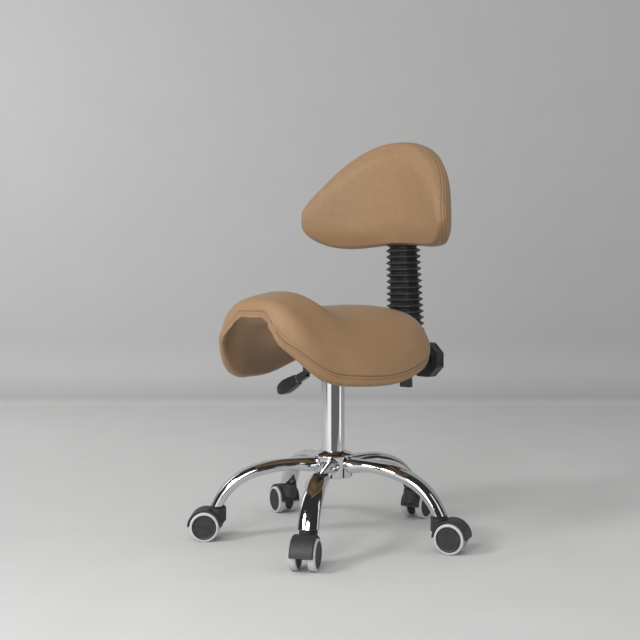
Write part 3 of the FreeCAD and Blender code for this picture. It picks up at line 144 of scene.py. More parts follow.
class StudioSettings(bpy.types.PropertyGroup):
    """The plain studio round the stool."""

    floor_colour: bpy.props.StringProperty(
        name="Floor", description="Matt studio floor", default="#c6c6c5")
    wall_colour: bpy.props.StringProperty(
        name="Wall", description="Matt studio wall", default="#b2b2b2")
    wall_distance: bpy.props.FloatProperty(
        name="Wall distance", description="From the stool's column to the wall behind it",
        default=2.67, unit="LENGTH")
    camera_azimuth: bpy.props.FloatProperty(
        name="Camera azimuth", description="Direction of view, counter-clockwise from behind",
        default=math.radians(43.0), unit="ROTATION")
    camera_distance: bpy.props.FloatProperty(
        name="Camera distance", description="Level distance from the camera to the column",
        default=2.222, unit="LENGTH")
    camera_height: bpy.props.FloatProperty(
        name="Camera height", description="Height of the lens above the floor",
        default=0.538, unit="LENGTH")
    floor_reach: bpy.props.FloatProperty(
        name="Floor reach", description="From the stool's column to the floor's near edge",
        default=0.95, unit="LENGTH")
    air: bpy.props.FloatProperty(
        name="Room light", description="Strength of the even light of the white room",
        default=0.66, min=0.0, max=2.0)
    key_power: bpy.props.FloatProperty(
        name="Key light", description="Power of the large soft light from the left front",
        default=48.0, unit="POWER")
    camera_power: bpy.props.FloatProperty(
        name="Camera light", description="Power of the soft light beside the camera",
        default=36.0, unit="POWER")
    front_power: bpy.props.FloatProperty(
        name="Front light", description="Power of the standing soft light on the left",
        default=6.2, unit="POWER")
    side_power: bpy.props.FloatProperty(
        name="Side light", description="Power of the standing strip light on the right",
        default=1.4, unit="POWER")
    wall_power: bpy.props.FloatProperty(
        name="Wall light", description="Power of the light that washes the wall's left",
        default=12.0, unit="POWER")


# Small tools

def linear(hex_colour):
    """A linear colour with full alpha from an sRGB hex value."""
    channels = [int(hex_colour[i:i + 2], 16) / 255 for i in (1, 3, 5)]
    return [c / 12.92 if c <= 0.04045 else ((c + 0.055) / 1.055) ** 2.4 for c in channels] + [1]


def add_node(tree, kind, settings=(), links=()):
    """Adds a node, sets its options, and fills its inputs with values or other nodes' outputs."""
    node = tree.nodes.new(kind)
    for option, value in dict(settings).items():
        setattr(node, option, value)
    for socket, value in dict(links).items():
        if isinstance(value, bpy.types.NodeSocket):
            tree.links.new(value, node.inputs[socket])
        else:
            node.inputs[socket].default_value = value
    return node


def new_finish(name):
    """An empty node material and its tree."""
    finish = bpy.data.materials.new(name)
    finish.use_nodes = True
    finish.node_tree.nodes.clear()
    return finish, finish.node_tree


def close_finish(tree, shader):
    """Joins a finish's shader to the material's output."""
    add_node(tree, "ShaderNodeOutputMaterial", links={"Surface": shader.outputs[0]})


def only(piece):
    """Makes one object the whole selection."""
    bpy.ops.object.select_all(action="DESELECT")
    bpy.context.view_layer.objects.active = piece
    piece.select_set(True)


def edit(piece):
    """Opens one object alone for editing."""
    only(piece)
    bpy.ops.object.mode_set(mode="EDIT")


def leave_edit():
    """Closes editing, so that the mesh can be read."""
    bpy.ops.object.mode_set(mode="OBJECT")


def settle(piece):
    """Puts the object at the origin, unturned and unscaled, with its place in its mesh."""
    only(piece)
    bpy.ops.object.transform_apply(location=True, rotation=True, scale=True)


def apply_modifiers(piece):
    """Makes every modifier's result the piece's own mesh, in order."""
    only(piece)
    for modifier in list(piece.modifiers):
        bpy.ops.object.modifier_apply(modifier=modifier.name)


def dress(piece, finish, body, slot, *nodes):
    """Gives a piece its finish, the body it rides on and the CAD nodes it stands for."""
    piece.data.materials.clear()
    piece.data.materials.append(finish)
    if body:
        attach(piece, body)
    if nodes:
        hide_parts(*nodes)
    return piece


def smooth_by_angle(piece, degrees=35.0):
    """Shades a piece smooth, but for the edges that are sharper than an angle."""
    only(piece)
    bpy.ops.object.shade_smooth_by_angle(angle=math.radians(degrees))


def copied(master, name, place):
    """A copy of a master piece with its own mesh, moved by a matrix."""
    mesh = master.data.copy()
    mesh.transform(place)
    piece = bpy.data.objects.new(name, mesh)
    bpy.context.scene.collection.objects.link(piece)
    return piece


def stool_settings():
    """The sizes, the colours and the studio's settings, as the panel shows them."""
    scene = bpy.context.scene
    return scene.stool_sizes, scene.stool_colours, scene.stool_studio


# Finishes

def object_point(tree, scale):
    """Object coordinates, in turns of a pattern whose repeat is given in metres."""
    where = add_node(tree, "ShaderNodeTexCoord")
    return add_node(tree, "ShaderNodeMapping", links={
        "Vector": where.outputs["Object"], "Scale": (1 / scale,) * 3}).outputs[0]


def mixed(tree, share, first, second):
    """A colour between two, by a share."""
    return add_node(tree, "ShaderNodeMix", {"data_type": "RGBA"}, {
        0: share, 6: first, 7: second}).outputs[2]


def spread(tree, value, low, high, out_low, out_high):
    """A value moved from one span to another and held there."""
    return add_node(tree, "ShaderNodeMapRange", links={
        0: value, 1: low, 2: high, 3: out_low, 4: out_high}).outputs[0]


# The painted shade in a seam's fold is darkest up to its bottom's half width and gone at its edge.
FOLD_BOTTOM = 0.25 * MM
FOLD_EDGE = 1.4 * MM
FOLD_PAINTED_SHADE = 0.62


def painted_seam_shade(tree):
    """How much painted shade a point gets in the fold of a seam, from the distances stored on the
    leather.
    """
    seam = add_node(tree, "ShaderNodeAttribute", {"attribute_name": "seam"})
    near = add_node(tree, "ShaderNodeAttribute", {"attribute_name": "seam_near"})
    distance = add_node(tree, "ShaderNodeMath", {"operation": "ABSOLUTE"}, {
        0: seam.outputs["Fac"]})
    fold = spread(tree, distance.outputs[0], FOLD_BOTTOM, FOLD_EDGE, FOLD_PAINTED_SHADE, 0.0)
    return add_node(tree, "ShaderNodeMath", {"operation": "MULTIPLY"}, {
        0: fold, 1: near.outputs["Fac"]}).outputs[0]


def tan_leather(colours):
    """Smooth finished upholstery leather, pigment coated.

    Gives a soft broad sheen, fine pebbled grain, cloudy tone and painted shade in the folds along
    seams.
    """
    cloud_size, crease_size, relief = 70 * MM, 9 * MM, 0.3 * MM
    # A grain pebble is about 1.3 mm on the hide, drawn larger so that it shows.
    pebble_size = 2.6 * MM
    finish, tree = new_finish("finished upholstery leather, tan")
    clouds = add_node(tree, "ShaderNodeTexNoise", links={
        "Vector": object_point(tree, cloud_size), "Detail": 4.0, "Roughness": 0.55})
    cloud = spread(tree, clouds.outputs["Fac"], 0.35, 0.68, 0.0, 1.0)
    base = linear(colours.leather)
    dark = linear(colours.leather_dark)
    tone = mixed(tree, spread(tree, cloud, 0.0, 1.0, 0.0, 0.28), base, dark)
    pebbles = add_node(tree, "ShaderNodeTexVoronoi", {"feature": "DISTANCE_TO_EDGE"}, {
        "Vector": object_point(tree, pebble_size), "Scale": 1.0, "Randomness": 0.9})
    pebble = spread(tree, pebbles.outputs["Distance"], 0.0, 0.16, 0.0, 1.0)
    creases = add_node(tree, "ShaderNodeTexNoise", links={
        "Vector": object_point(tree, crease_size), "Detail": 5.0, "Roughness": 0.6,
        "Distortion": 0.6})
    tone = mixed(tree, spread(tree, pebble, 0.0, 1.0, 0.14, 0.0), tone, dark)
    # Painted shade: the seam's fold is darkened towards a deep brown, where shade would fall in
    # it.
    seam_fold_shade = painted_seam_shade(tree)
    tone = mixed(tree, seam_fold_shade, tone, [c * 0.3 for c in dark[:3]] + [1])
    height = add_node(tree, "ShaderNodeMath", {"operation": "MULTIPLY_ADD"}, {
        0: creases.outputs["Fac"], 1: 1.2, 2: pebble})
    bump = add_node(tree, "ShaderNodeBump", links={
        "Height": height.outputs[0], "Strength": 0.85, "Distance": relief})
    gloss = spread(tree, creases.outputs["Fac"], 0.3, 0.7, 0.37, 0.48)
    shader = add_node(tree, "ShaderNodeBsdfPrincipled", links={
        "Base Color": tone, "Roughness": gloss, "IOR": 1.48, "Normal": bump.outputs[0],
        "Sheen Weight": 0.06, "Sheen Roughness": 0.45, "Specular IOR Level": 0.5})
    close_finish(tree, shader)
    return finish


def nylon_thread(colours):
    """Bonded nylon thread: twisted, slightly glossy, a shade darker than the leather."""
    twist_size = 0.8 * MM
    finish, tree = new_finish("bonded nylon thread, tan")
    twist = add_node(tree, "ShaderNodeTexNoise", links={
        "Vector": object_point(tree, twist_size)})
    base = linear(colours.thread)
    tone = mixed(tree, twist.outputs["Fac"], base, [c * 0.6 for c in base[:3]] + [1])
    shader = add_node(tree, "ShaderNodeBsdfPrincipled", links={
        "Base Color": tone, "Roughness": 0.5, "IOR": 1.53})
    close_finish(tree, shader)
    return finish


def chrome_plate(colours):
    """Bright chrome over polished steel: a mirror with faint polishing ripple and finger haze."""
    haze_size, ripple_size, ripple_height = 30 * MM, 14 * MM, 0.4 * MM
    finish, tree = new_finish("bright chrome plate")
    haze = add_node(tree, "ShaderNodeTexNoise", links={
        "Vector": object_point(tree, haze_size), "Detail": 5.0})
    ripple = add_node(tree, "ShaderNodeTexNoise", links={
        "Vector": object_point(tree, ripple_size), "Detail": 1.0})
    bump = add_node(tree, "ShaderNodeBump", links={
        "Height": ripple.outputs["Fac"], "Strength": 0.05, "Distance": ripple_height})
    shader = add_node(tree, "ShaderNodeBsdfPrincipled", links={
        "Base Color": linear(colours.chrome), "Metallic": 1.0, "Normal": bump.outputs[0],
        "Roughness": spread(tree, haze.outputs["Fac"], 0.35, 0.75, 0.05, 0.11)})
    close_finish(tree, shader)
    return finish


def turned_steel(colours):
    """Bare turned steel: grey metal with fine lathe rings across the axis."""
    # Lathe feed lines are about 0.2 mm apart, drawn wider so that they show.
    feed, feed_depth = 0.8 * MM, 0.05 * MM
    finish, tree = new_finish("bare turned steel")
    rings = add_node(tree, "ShaderNodeTexWave", {"bands_direction": "Z"}, {
        "Vector": object_point(tree, feed), "Scale": 0.3, "Distortion": 1.0})
    bump = add_node(tree, "ShaderNodeBump", links={
        "Height": rings.outputs["Fac"], "Strength": 0.2, "Distance": feed_depth})
    shader = add_node(tree, "ShaderNodeBsdfPrincipled", links={
        "Base Color": linear(colours.steel), "Metallic": 1.0, "Normal": bump.outputs[0],
        "Roughness": spread(tree, rings.outputs["Fac"], 0.0, 1.0, 0.28, 0.4)})
    close_finish(tree, shader)
    return finish


def moulded(name, hex_colour, rough, grain, depth, worn=0.05):
    """A moulded or coated surface with a fine texture, slightly paler on its sharp edges: partly
    rubbed wear, partly a painted highlight.
    """
    cloud_size = 45 * MM
    finish, tree = new_finish(name)
    texture = add_node(tree, "ShaderNodeTexNoise", links={
        "Vector": object_point(tree, grain), "Detail": 3.0, "Roughness": 0.6})
    clouds = add_node(tree, "ShaderNodeTexNoise", links={
        "Vector": object_point(tree, cloud_size), "Detail": 3.0})
    base = linear(hex_colour)
    pale = [c + (1 - c) * worn for c in base[:3]] + [1]
    edges = add_node(tree, "ShaderNodeNewGeometry")
    # Painted highlight and wear: sharp convex edges are painted paler, partly as rubbing and
    # partly as the light they catch.
    rubbed = spread(tree, edges.outputs["Pointiness"], 0.52, 0.60, 0.0, 1.0)
    tone = mixed(tree, spread(tree, clouds.outputs["Fac"], 0.3, 0.7, 0.0, 0.3), base, pale)
    tone = mixed(tree, spread(tree, rubbed, 0.0, 1.0, 0.0, 0.5), tone, pale)
    bump = add_node(tree, "ShaderNodeBump", links={
        "Height": texture.outputs["Fac"], "Strength": 0.35, "Distance": depth})
    shader = add_node(tree, "ShaderNodeBsdfPrincipled", links={
        "Base Color": tone, "IOR": 1.5, "Normal": bump.outputs[0],
        "Roughness": spread(tree, texture.outputs["Fac"], 0.3, 0.7, rough - 0.06, rough + 0.06)})
    close_finish(tree, shader)
    return finish


def birch_plywood(colours):
    """Birch plywood, sanded: pale wood with long grain across the board and thin glue lines."""
    grain_width, grain_length = 4 * MM, 60 * MM
    # Veneers are about 1.5 mm thick, so a pair of them repeats every 3 mm.
    veneer_pair = 3 * MM
    finish, tree = new_finish("sanded birch plywood")
    where = add_node(tree, "ShaderNodeTexCoord")
    grain_space = add_node(tree, "ShaderNodeMapping", links={
        "Vector": where.outputs["Object"],
        "Scale": (1 / grain_width, 1 / grain_length, 1 / grain_width)})
    grain = add_node(tree, "ShaderNodeTexNoise", links={
        "Vector": grain_space.outputs[0], "Detail": 4.0})
    plies = add_node(tree, "ShaderNodeTexWave", {"bands_direction": "Z"}, {
        "Vector": object_point(tree, veneer_pair), "Scale": 0.3})
    base = linear(colours.plywood)
    brown = [c * 0.55 for c in base[:3]] + [1]
    tone = mixed(tree, spread(tree, grain.outputs["Fac"], 0.3, 0.7, 0.0, 0.4), base, brown)
    tone = mixed(tree, spread(tree, plies.outputs["Fac"], 0.85, 1.0, 0.0, 0.35), tone, brown)
    shader = add_node(tree, "ShaderNodeBsdfPrincipled", links={
        "Base Color": tone, "Roughness": 0.68, "IOR": 1.5})
    close_finish(tree, shader)
    return finish


FINISHES = {}


def mix_finishes():
    """Makes every finish once, by the record's slot that it dresses."""
    colours = stool_settings()[1]
    FINISHES.update({
        "tan_leather": tan_leather(colours),
        "thread": nylon_thread(colours),
        "chrome": chrome_plate(colours),
        "steel": turned_steel(colours),
        # Powder coat: satin, with a slight orange peel of about 1.5 mm.
        "black_metal": moulded("satin black powder coat", colours.black_paint,
                               rough=0.36, grain=1.5 * MM, depth=0.03 * MM),
        # Glass-filled nylon: fine spark-eroded texture, semi-matt.
        "black_plastic": moulded("moulded glass-filled nylon, black", colours.black_plastic,
                                 rough=0.34, grain=0.9 * MM, depth=0.03 * MM),
        # Nylon hood: deeper mould texture, quite matt.
        "caster_plastic": moulded("textured nylon, charcoal", colours.hood_plastic,
                                  rough=0.52, grain=1.0 * MM, depth=0.06 * MM),
        # Moulded rubber: matt to satin, with its ridges painted paler: a slight dusty bloom and a
        # painted highlight.
        "bellows_rubber": moulded("moulded rubber, black", colours.rubber,
                                  rough=0.42, grain=1.2 * MM, depth=0.03 * MM, worn=0.08),
        # Cast polyurethane: satin, even pale grey.
        "tread_rubber": moulded("cast polyurethane, grey", colours.tread,
                                rough=0.45, grain=2.0 * MM, depth=0.02 * MM, worn=0.0),
        # Acetal: smooth and slightly waxy.
        "button_plastic": moulded("dyed acetal, red", colours.release,
                                  rough=0.35, grain=0.9 * MM, depth=0.02 * MM),
        "plywood": birch_plywood(colours),
    })


# Upholstery

# The seat's seam at stations from front to back, as in the part's source: distance back, half
# width and height of the seam and of the crown (shares), and the section's lean in degrees.
SEAT_SEAM = (
    (0.000, 0.390, 0.560, 0.775, 14), (0.012, 0.475, 0.420, 0.845, 6),
    (0.045, 0.570, 0.310, 0.918, 1), (0.130, 0.700, 0.112, 0.978, 0),
    (0.210, 0.772, 0.025, 0.994, 0), (0.320, 0.885, -0.003, 0.848, 0),
    (0.450, 0.965, -0.006, 0.800, 0), (0.590, 1.000, 0.057, 0.811, 0),
    (0.730, 0.955, 0.190, 0.813, 0), (0.852, 0.770, 0.331, 0.768, 0),
    (0.936, 0.585, 0.414, 0.685, 0), (0.984, 0.360, 0.475, 0.600, 0),
    (1.000, 0.160, 0.500, 0.540, 0))
SEAT_FRONT = -241 * MM
SEAT_LENGTH = 441 * MM
SEAT_HALF_WIDTH = 205 * MM
SEAT_LOW = 362 * MM
SEAT_RISE = 165 * MM
# The roll of leather round the arch at the front.
ROLL_REACH = 60 * MM
ROLL_HALF_WIDTH = 62 * MM
ROLL_FILL = 7 * MM
ROLL_ROUNDS = 10
# The upward share of the normals up to which points count as the roll, and as its underside.
ROLL_FACING = 0.3
UNDER_FACING = 0.1
# At the seat's two ends: the crown's flat (share), the straight side and the seam's slope.
SEAT_FRONT_END = (0.36, 40 * MM, 40)
SEAT_BACK_END = (0.04, 5.0 * MM, 22)

# The backrest's outline from the middle out: distance out, top, bottom and thickness (shares).
BACK_OUTLINE = (
    (0.00, 1.000, 0.020, 1.00), (0.28, 0.972, 0.012, 1.00), (0.49, 0.900, 0.000, 0.98),
    (0.66, 0.800, 0.002, 0.90), (0.80, 0.672, 0.028, 0.80), (0.91, 0.540, 0.085, 0.67),
    (0.975, 0.435, 0.155, 0.52), (1.000, 0.375, 0.210, 0.42))
BACK_HALF_WIDTH = 200 * MM
BACK_RADIUS = 228.5 * MM
BACK_MIDDLE_Y = 244.5 * MM
BACK_BOTTOM = 629.5 * MM
BACK_SEAM_SETBACK = 8.5 * MM
BACK_HEIGHT = 240 * MM
# Beyond this share of the half width, the backrest's end is evened this often.
BACK_END_SHARE = 0.88
BACK_END_ROUNDS = 16
# The backrest's seams are finer than the seat's, and run evener.
BACK_SEAM_SHARE = 0.45
BACK_SEAM_ROUNDS = 30
# The upright leans forward about the top of its sleeve.
LEAN_ANGLE = math.radians(3)
LEAN_PIVOT = Vector((0, 248.5 * MM, 393 * MM))
LEAN = (Matrix.Translation(LEAN_PIVOT) @ Matrix.Rotation(LEAN_ANGLE, 4, "X")
        @ Matrix.Translation(-LEAN_PIVOT))


def flowing(points, steps=8):
    """Points along a smooth curve through the given ones."""
    count = len(points)
    curve = []
    for i in range(count - 1):
        a = points[max(i - 1, 0)]
        b, c = points[i], points[i + 1]
        d = points[min(i + 2, count - 1)]
        for k in range(steps):
            t = k / steps
            curve.append(0.5 * (2 * b + (c - a) * t + (2 * a - 5 * b + 4 * c - d) * t ** 2
                                + (3 * b - a - 3 * c + d) * t ** 3))
    curve.append(points[-1])
    return curve


def seat_seam_point(station):
    """Where the seam crosses the seat's left flank at a station."""
    back, wide, up, crown_up, lean = station
    z = SEAT_LOW + up * SEAT_RISE
    crown = SEAT_LOW + crown_up * SEAT_RISE
    y = SEAT_FRONT + back * SEAT_LENGTH + math.tan(math.radians(lean)) * (z - crown)
    return Vector((wide * SEAT_HALF_WIDTH, y, z))


def end_curve(station, end):
    """The seam across one end of the seat, from its left corner to the middle."""
    flat, straight, slope = end
    slope = math.radians(slope)
    lean = math.tan(math.radians(station[4]))
    corner = seat_seam_point(station)
    top = SEAT_LOW + station[3] * SEAT_RISE
    base_y = SEAT_FRONT + station[0] * SEAT_LENGTH
    heading = Vector((math.cos(slope), 0, -math.sin(slope)))
    shoulder = Vector((corner.x, base_y, corner.z)) - heading * straight
    flat_end = Vector((flat * corner.x, base_y, top))
    reach = (shoulder - flat_end).length * 0.38
    points = []
    for k in range(13):
        t = k / 12
        s = 1 - t
        points.append(shoulder * s ** 3 + (shoulder - heading * reach) * (3 * s * s * t)
                      + (flat_end + Vector((reach, 0, 0))) * (3 * s * t * t) + flat_end * t ** 3)
    points = [Vector((corner.x, base_y, corner.z))] + points + [Vector((0, base_y, top))]
    return [Vector((p.x, p.y + lean * (p.z - top), p.z)) for p in points]


def mirrored(points):
    """The same points on the seat's other side."""
    return [Vector((-p.x, p.y, p.z)) for p in points]


def seat_seam_loop():
    """The seat's whole seam: left flank, front, right flank and back."""
    flank = flowing([seat_seam_point(station) for station in SEAT_SEAM])
    front = end_curve(SEAT_SEAM[0], SEAT_FRONT_END)
    back = end_curve(SEAT_SEAM[-1], SEAT_BACK_END)
    return (flank[::-1] + front[1:] + mirrored(front)[::-1][1:] + mirrored(flank)[1:]
            + mirrored(back)[1:] + back[::-1][1:-1])


def back_point(shares, side, height_share, offset):
    """A point on the backrest's curved middle surface, moved back by an offset."""
    turn = math.asin(shares[0] * BACK_HALF_WIDTH / BACK_RADIUS) * side
    reach = BACK_RADIUS + offset
    return LEAN @ Vector((math.sin(turn) * reach,
                          BACK_MIDDLE_Y - BACK_RADIUS + math.cos(turn) * reach,
                          BACK_BOTTOM + height_share * BACK_HEIGHT))


def back_seam_loop(offset):
    """A seam round the backrest's side band, a distance behind the band's middle."""
    line = [(row, -1) for row in BACK_OUTLINE[::-1]] + [(row, 1) for row in BACK_OUTLINE[1:]]
    top = flowing([back_point(row, side, row[1], offset) for row, side in line])
    low = flowing([back_point(row, side, row[2], offset) for row, side in line])
    return top + low[::-1]


def evenly(loop, step):
    """Points a step apart along a closed line."""
    ring = loop + [loop[0]]
    lengths = [(b - a).length for a, b in zip(ring, ring[1:])]
    count = max(8, round(sum(lengths) / step))
    gap = sum(lengths) / count
    points = []
    walked = 0.0
    wanted = 0.0
    for a, b, length in zip(ring, ring[1:], lengths):
        while wanted <= walked + length and len(points) < count and length > 0:
            points.append(a.lerp(b, (wanted - walked) / length))
            wanted += gap
        walked += length
    return points


def softened(points, rounds):
    """A closed line with its small kinks taken out."""
    for _ in range(rounds):
        points = [(points[i - 1] + points[i] * 2 + points[(i + 1) % len(points)]) / 4
                  for i in range(len(points))]
    return points


# From one point of a seam to the next.
SEAM_STEP = 2 * MM


class Seam:
    """A sewn line on a cushion: its points, their outward normals and their upper sides."""

    def __init__(self, piece, loop, step=SEAM_STEP, rounds=6):
        form = bmesh.new()
        form.from_mesh(piece.data)
        self.surface = BVHTree.FromBMesh(form)
        form.free()
        points = [self.surface.find_nearest(p)[0] for p in evenly(loop, step)]
        points = softened(points, rounds)
        found = [self.surface.find_nearest(p) for p in points]
        self.points = [hit[0] for hit in found]
        self.normals = [n.normalized() for n in softened([hit[1] for hit in found], 6)]
        count = len(points)
        self.along = [(points[(i + 1) % count] - points[i - 1]).normalized()
                      for i in range(count)]
        self.upper = [t.cross(n).normalized() for t, n in zip(self.along, self.normals)]
        self.tree = KDTree(count)
        for i, point in enumerate(self.points):
            self.tree.insert(point, i)
        self.tree.balance()

    def offset(self, point):
        """Signed distance of a point above the seam, and its plain distance."""
        _, i, distance = self.tree.find(point)
        return (point - self.points[i]).dot(self.upper[i]), distance


# How far each cushion starts inside its solid, which leaves room for the swell.
SEAT_SHRINK = 0.8 * MM
BACK_SHRINK = 1.6 * MM
# Points of a solid's faces that are nearer than this are one point.
WELD_DISTANCE = 0.02 * MM


def foam_pad(node, name, shrink, swell):
    """A padded copy of a cushion's solid: remeshed, then blown up against its own cover."""
    sizes = stool_settings()[0]
    piece = copied(frame["nodes"][node], name, Matrix())
    edit(piece)
    bpy.ops.mesh.select_all(action="SELECT")
    bpy.ops.mesh.remove_doubles(threshold=WELD_DISTANCE)
    leave_edit()
    for vertex, normal in zip(piece.data.vertices, [v.normal.copy() for v in piece.data.vertices]):
        vertex.co -= normal * shrink
    piece.data.remesh_voxel_size = sizes.foam_voxel
    bpy.ops.object.voxel_remesh()
    blow_up(piece, swell)
    finer = piece.modifiers.new("Finer", "SUBSURF")
    finer.levels = finer.render_levels = 1
    apply_modifiers(piece)
    edit(piece)
    bpy.ops.mesh.select_all(action="SELECT")
    bpy.ops.mesh.normals_make_consistent(inside=False)
    leave_edit()
    return piece


def even_front(piece):
    """Evens the roll round the arch at the saddle's front, and fills it out in the middle."""
    edit(piece)
    bpy.ops.mesh.select_mode(type="VERT")
    bpy.ops.mesh.select_all(action="DESELECT")
    leave_edit()
    for vertex in piece.data.vertices:
        vertex.select = (vertex.co.y - SEAT_FRONT < ROLL_REACH
                         and vertex.normal.z < ROLL_FACING)
    bpy.ops.object.mode_set(mode="EDIT")
    bpy.ops.mesh.vertices_smooth(factor=0.5, repeat=ROLL_ROUNDS)
    leave_edit()
    under = [vertex for vertex in piece.data.vertices if vertex.normal.z < UNDER_FACING]
    for vertex in under:
        back = (vertex.co.y - SEAT_FRONT) / ROLL_REACH
        aside = vertex.co.x / ROLL_HALF_WIDTH
        if back < 1 and abs(aside) < 1:
            vertex.co.z -= ROLL_FILL * (1 - max(back, 0)) * (1 - aside ** 2)


# How much of the cover's drawing in is held by the board and the edge.
EDGE_HOLD = 0.85
# How often the swell is evened out between neighbouring points, as foam spreads it.
SWELL_ROUNDS = 24
PADDING_FRAMES = 20


def rounder_ends(piece):
    """Rounds the two ends of the backrest, where its board is cut off square."""
    edit(piece)
    bpy.ops.mesh.select_mode(type="VERT")
    bpy.ops.mesh.select_all(action="DESELECT")
    leave_edit()
    for vertex in piece.data.vertices:
        vertex.select = abs(vertex.co.x) > BACK_END_SHARE * BACK_HALF_WIDTH
    bpy.ops.object.mode_set(mode="EDIT")
    bpy.ops.mesh.vertices_smooth(factor=0.5, repeat=BACK_END_ROUNDS)
    leave_edit()


def blow_up(piece, swell):
    """Foam pressure on the cover, with each point's travel held to the swell.

    Where the cover would draw in, the cushion's board and edge hold most of its outline.
    """
    sizes = stool_settings()[0]
    scene = bpy.context.scene
    start = [v.co.copy() for v in piece.data.vertices]
    outward = [v.normal.copy() for v in piece.data.vertices]
    padding = piece.modifiers.new("Padding", "CLOTH")
    cover = padding.settings
    cover.quality = 5
    cover.mass = 0.3
    cover.tension_stiffness = 20
    cover.compression_stiffness = 20
    cover.shear_stiffness = 10
    cover.bending_stiffness = 2
    cover.use_pressure = True
    cover.uniform_pressure_force = sizes.foam_pressure
    cover.effector_weights.gravity = 0
    for frame_number in range(1, PADDING_FRAMES + 1):
        scene.frame_set(frame_number)
    blown = piece.evaluated_get(bpy.context.evaluated_depsgraph_get())
    ends = [v.co.copy() for v in blown.data.vertices]
    piece.modifiers.remove(padding)
    scene.frame_set(1)
    travels = []
    for before, after, normal in zip(start, ends, outward):
        travel = after - before
        travel -= normal * min(travel.dot(normal), 0) * EDGE_HOLD
        if travel.length > swell:
            travel *= swell / travel.length
        travels.append(travel)
    for _ in range(SWELL_ROUNDS):
        sums = [travel * 2 for travel in travels]
        counts = [2] * len(travels)
        for edge in piece.data.edges:
            a, b = edge.vertices
            sums[a] += travels[b]
            sums[b] += travels[a]
            counts[a] += 1
            counts[b] += 1
        travels = [total / count for total, count in zip(sums, counts)]
    for vertex, before, travel in zip(piece.data.vertices, start, travels):
        vertex.co = before + travel


# The leather's mesh is made finer this near a seam, and the seam draws it in to SEAM_REACH.
SEAM_FINE_REACH = 9 * MM
SEAM_REACH = 10 * MM
SEAM_FADE = 4 * MM
# The leather's two lips beside a seam: distance above it, rise (share of the depth) and width.
SEAM_LIPS = ((4.2 * MM, 0.28, 2.6 * MM), (-3.2 * MM, 0.2, 1.8 * MM))
# How far topstitching pulls the leather in (share of the seam's depth), and half that width.
STITCH_PULL = 0.35
STITCH_PULL_WIDTH = 1.1 * MM
THREAD_RADIUS = 0.5 * MM
THREAD_ROUNDING = 0.16 * MM
THREAD_END = 0.3 * MM
THREAD_RISE = 0.25 * MM


def bump_at(distance, centre, width):
    """A smooth unit bump across a seam."""
    return math.exp(-((distance - centre) / width) ** 2)


def sew(piece, seams, share=1.0, stitch_line=0.0):
    """Draws the leather in along seams, and stores the distance from them for the finish's painted
    shade in the folds.
    """
    sizes = stool_settings()[0]
    depth = sizes.seam_depth * share
    width = sizes.seam_width * share ** 0.5
    form = bmesh.new()
    form.from_mesh(piece.data)
    edges = [edge for edge in form.edges
             if all(min(seam.offset(vertex.co)[1] for seam in seams) < SEAM_FINE_REACH
                    for vertex in edge.verts)]
    bmesh.ops.subdivide_edges(form, edges=edges, cuts=1, use_grid_fill=True)
    form.normal_update()
    seam_layer = form.verts.layers.float.new("seam")
    near_layer = form.verts.layers.float.new("seam_near")
    moves = []
    for vertex in form.verts:
        signed, distance = min((seam.offset(vertex.co) for seam in seams), key=lambda o: o[1])
        vertex[seam_layer] = signed
        near = 1 - min(max((distance - SEAM_REACH) / SEAM_FADE, 0), 1)
        vertex[near_layer] = near * share ** 0.5
        if near == 0:
            continue
        move = -depth * bump_at(signed, 0, width)
        for lip, rise, lip_width in SEAM_LIPS:
            move += rise * depth * bump_at(signed, lip, lip_width)
        if stitch_line:
            move -= STITCH_PULL * depth * bump_at(signed, -stitch_line, STITCH_PULL_WIDTH)
        moves.append((vertex, vertex.normal * move * near))
    for vertex, move in moves:
        vertex.co += move
    form.to_mesh(piece.data)
    form.free()
    for polygon in piece.data.polygons:
        polygon.use_smooth = True


def thread_stitches(name, seam, setback):
    """Topstitching along a seam: one stitch, modelled once and laid end to end."""
    sizes = stool_settings()[0]
    bpy.ops.object.select_all(action="DESELECT")
    bpy.ops.mesh.primitive_cylinder_add(vertices=6, radius=THREAD_RADIUS,
                                        depth=sizes.stitch_length, location=(0, 0, 0),
                                        rotation=(0, math.pi / 2, 0))
    master = bpy.context.object
    settle(master)
    edit(master)
    bpy.ops.mesh.select_all(action="SELECT")
    bpy.ops.mesh.bisect(plane_co=(0, 0, 0), plane_no=(1, 0, 0))
    leave_edit()
    edit(master)
    bpy.ops.mesh.select_mode(type="FACE")
    bpy.ops.mesh.select_all(action="DESELECT")
    leave_edit()
    for face in master.data.polygons:
        face.select = abs(face.normal.x) > 0.9
    edit(master)
    bpy.ops.mesh.inset(thickness=THREAD_ROUNDING)
    bpy.ops.transform.translate(value=(0, 0, -THREAD_END))
    leave_edit()
    positions = evenly(seam.points, sizes.stitch_pitch)
    form = bmesh.new()
    for point in positions:
        _, i, _ = seam.tree.find(point)
        place, normal, _, _ = seam.surface.find_nearest(point - seam.upper[i] * setback)
        along = (seam.along[i] - normal * seam.along[i].dot(normal)).normalized()
        across = normal.cross(along)
        turn = Matrix((along, across, normal)).transposed().to_4x4()
        before = len(form.verts)
        form.from_mesh(master.data)
        form.verts.ensure_lookup_table()
        place = Matrix.Translation(place - normal * THREAD_RISE) @ turn
        bmesh.ops.transform(form, matrix=place, verts=form.verts[before:])
    mesh = bpy.data.meshes.new(name)
    form.to_mesh(mesh)
    form.free()
    bpy.data.objects.remove(master)
    piece = bpy.data.objects.new(name, mesh)
    bpy.context.scene.collection.objects.link(piece)
    for polygon in mesh.polygons:
        polygon.use_smooth = True
    return piece


# Bellows

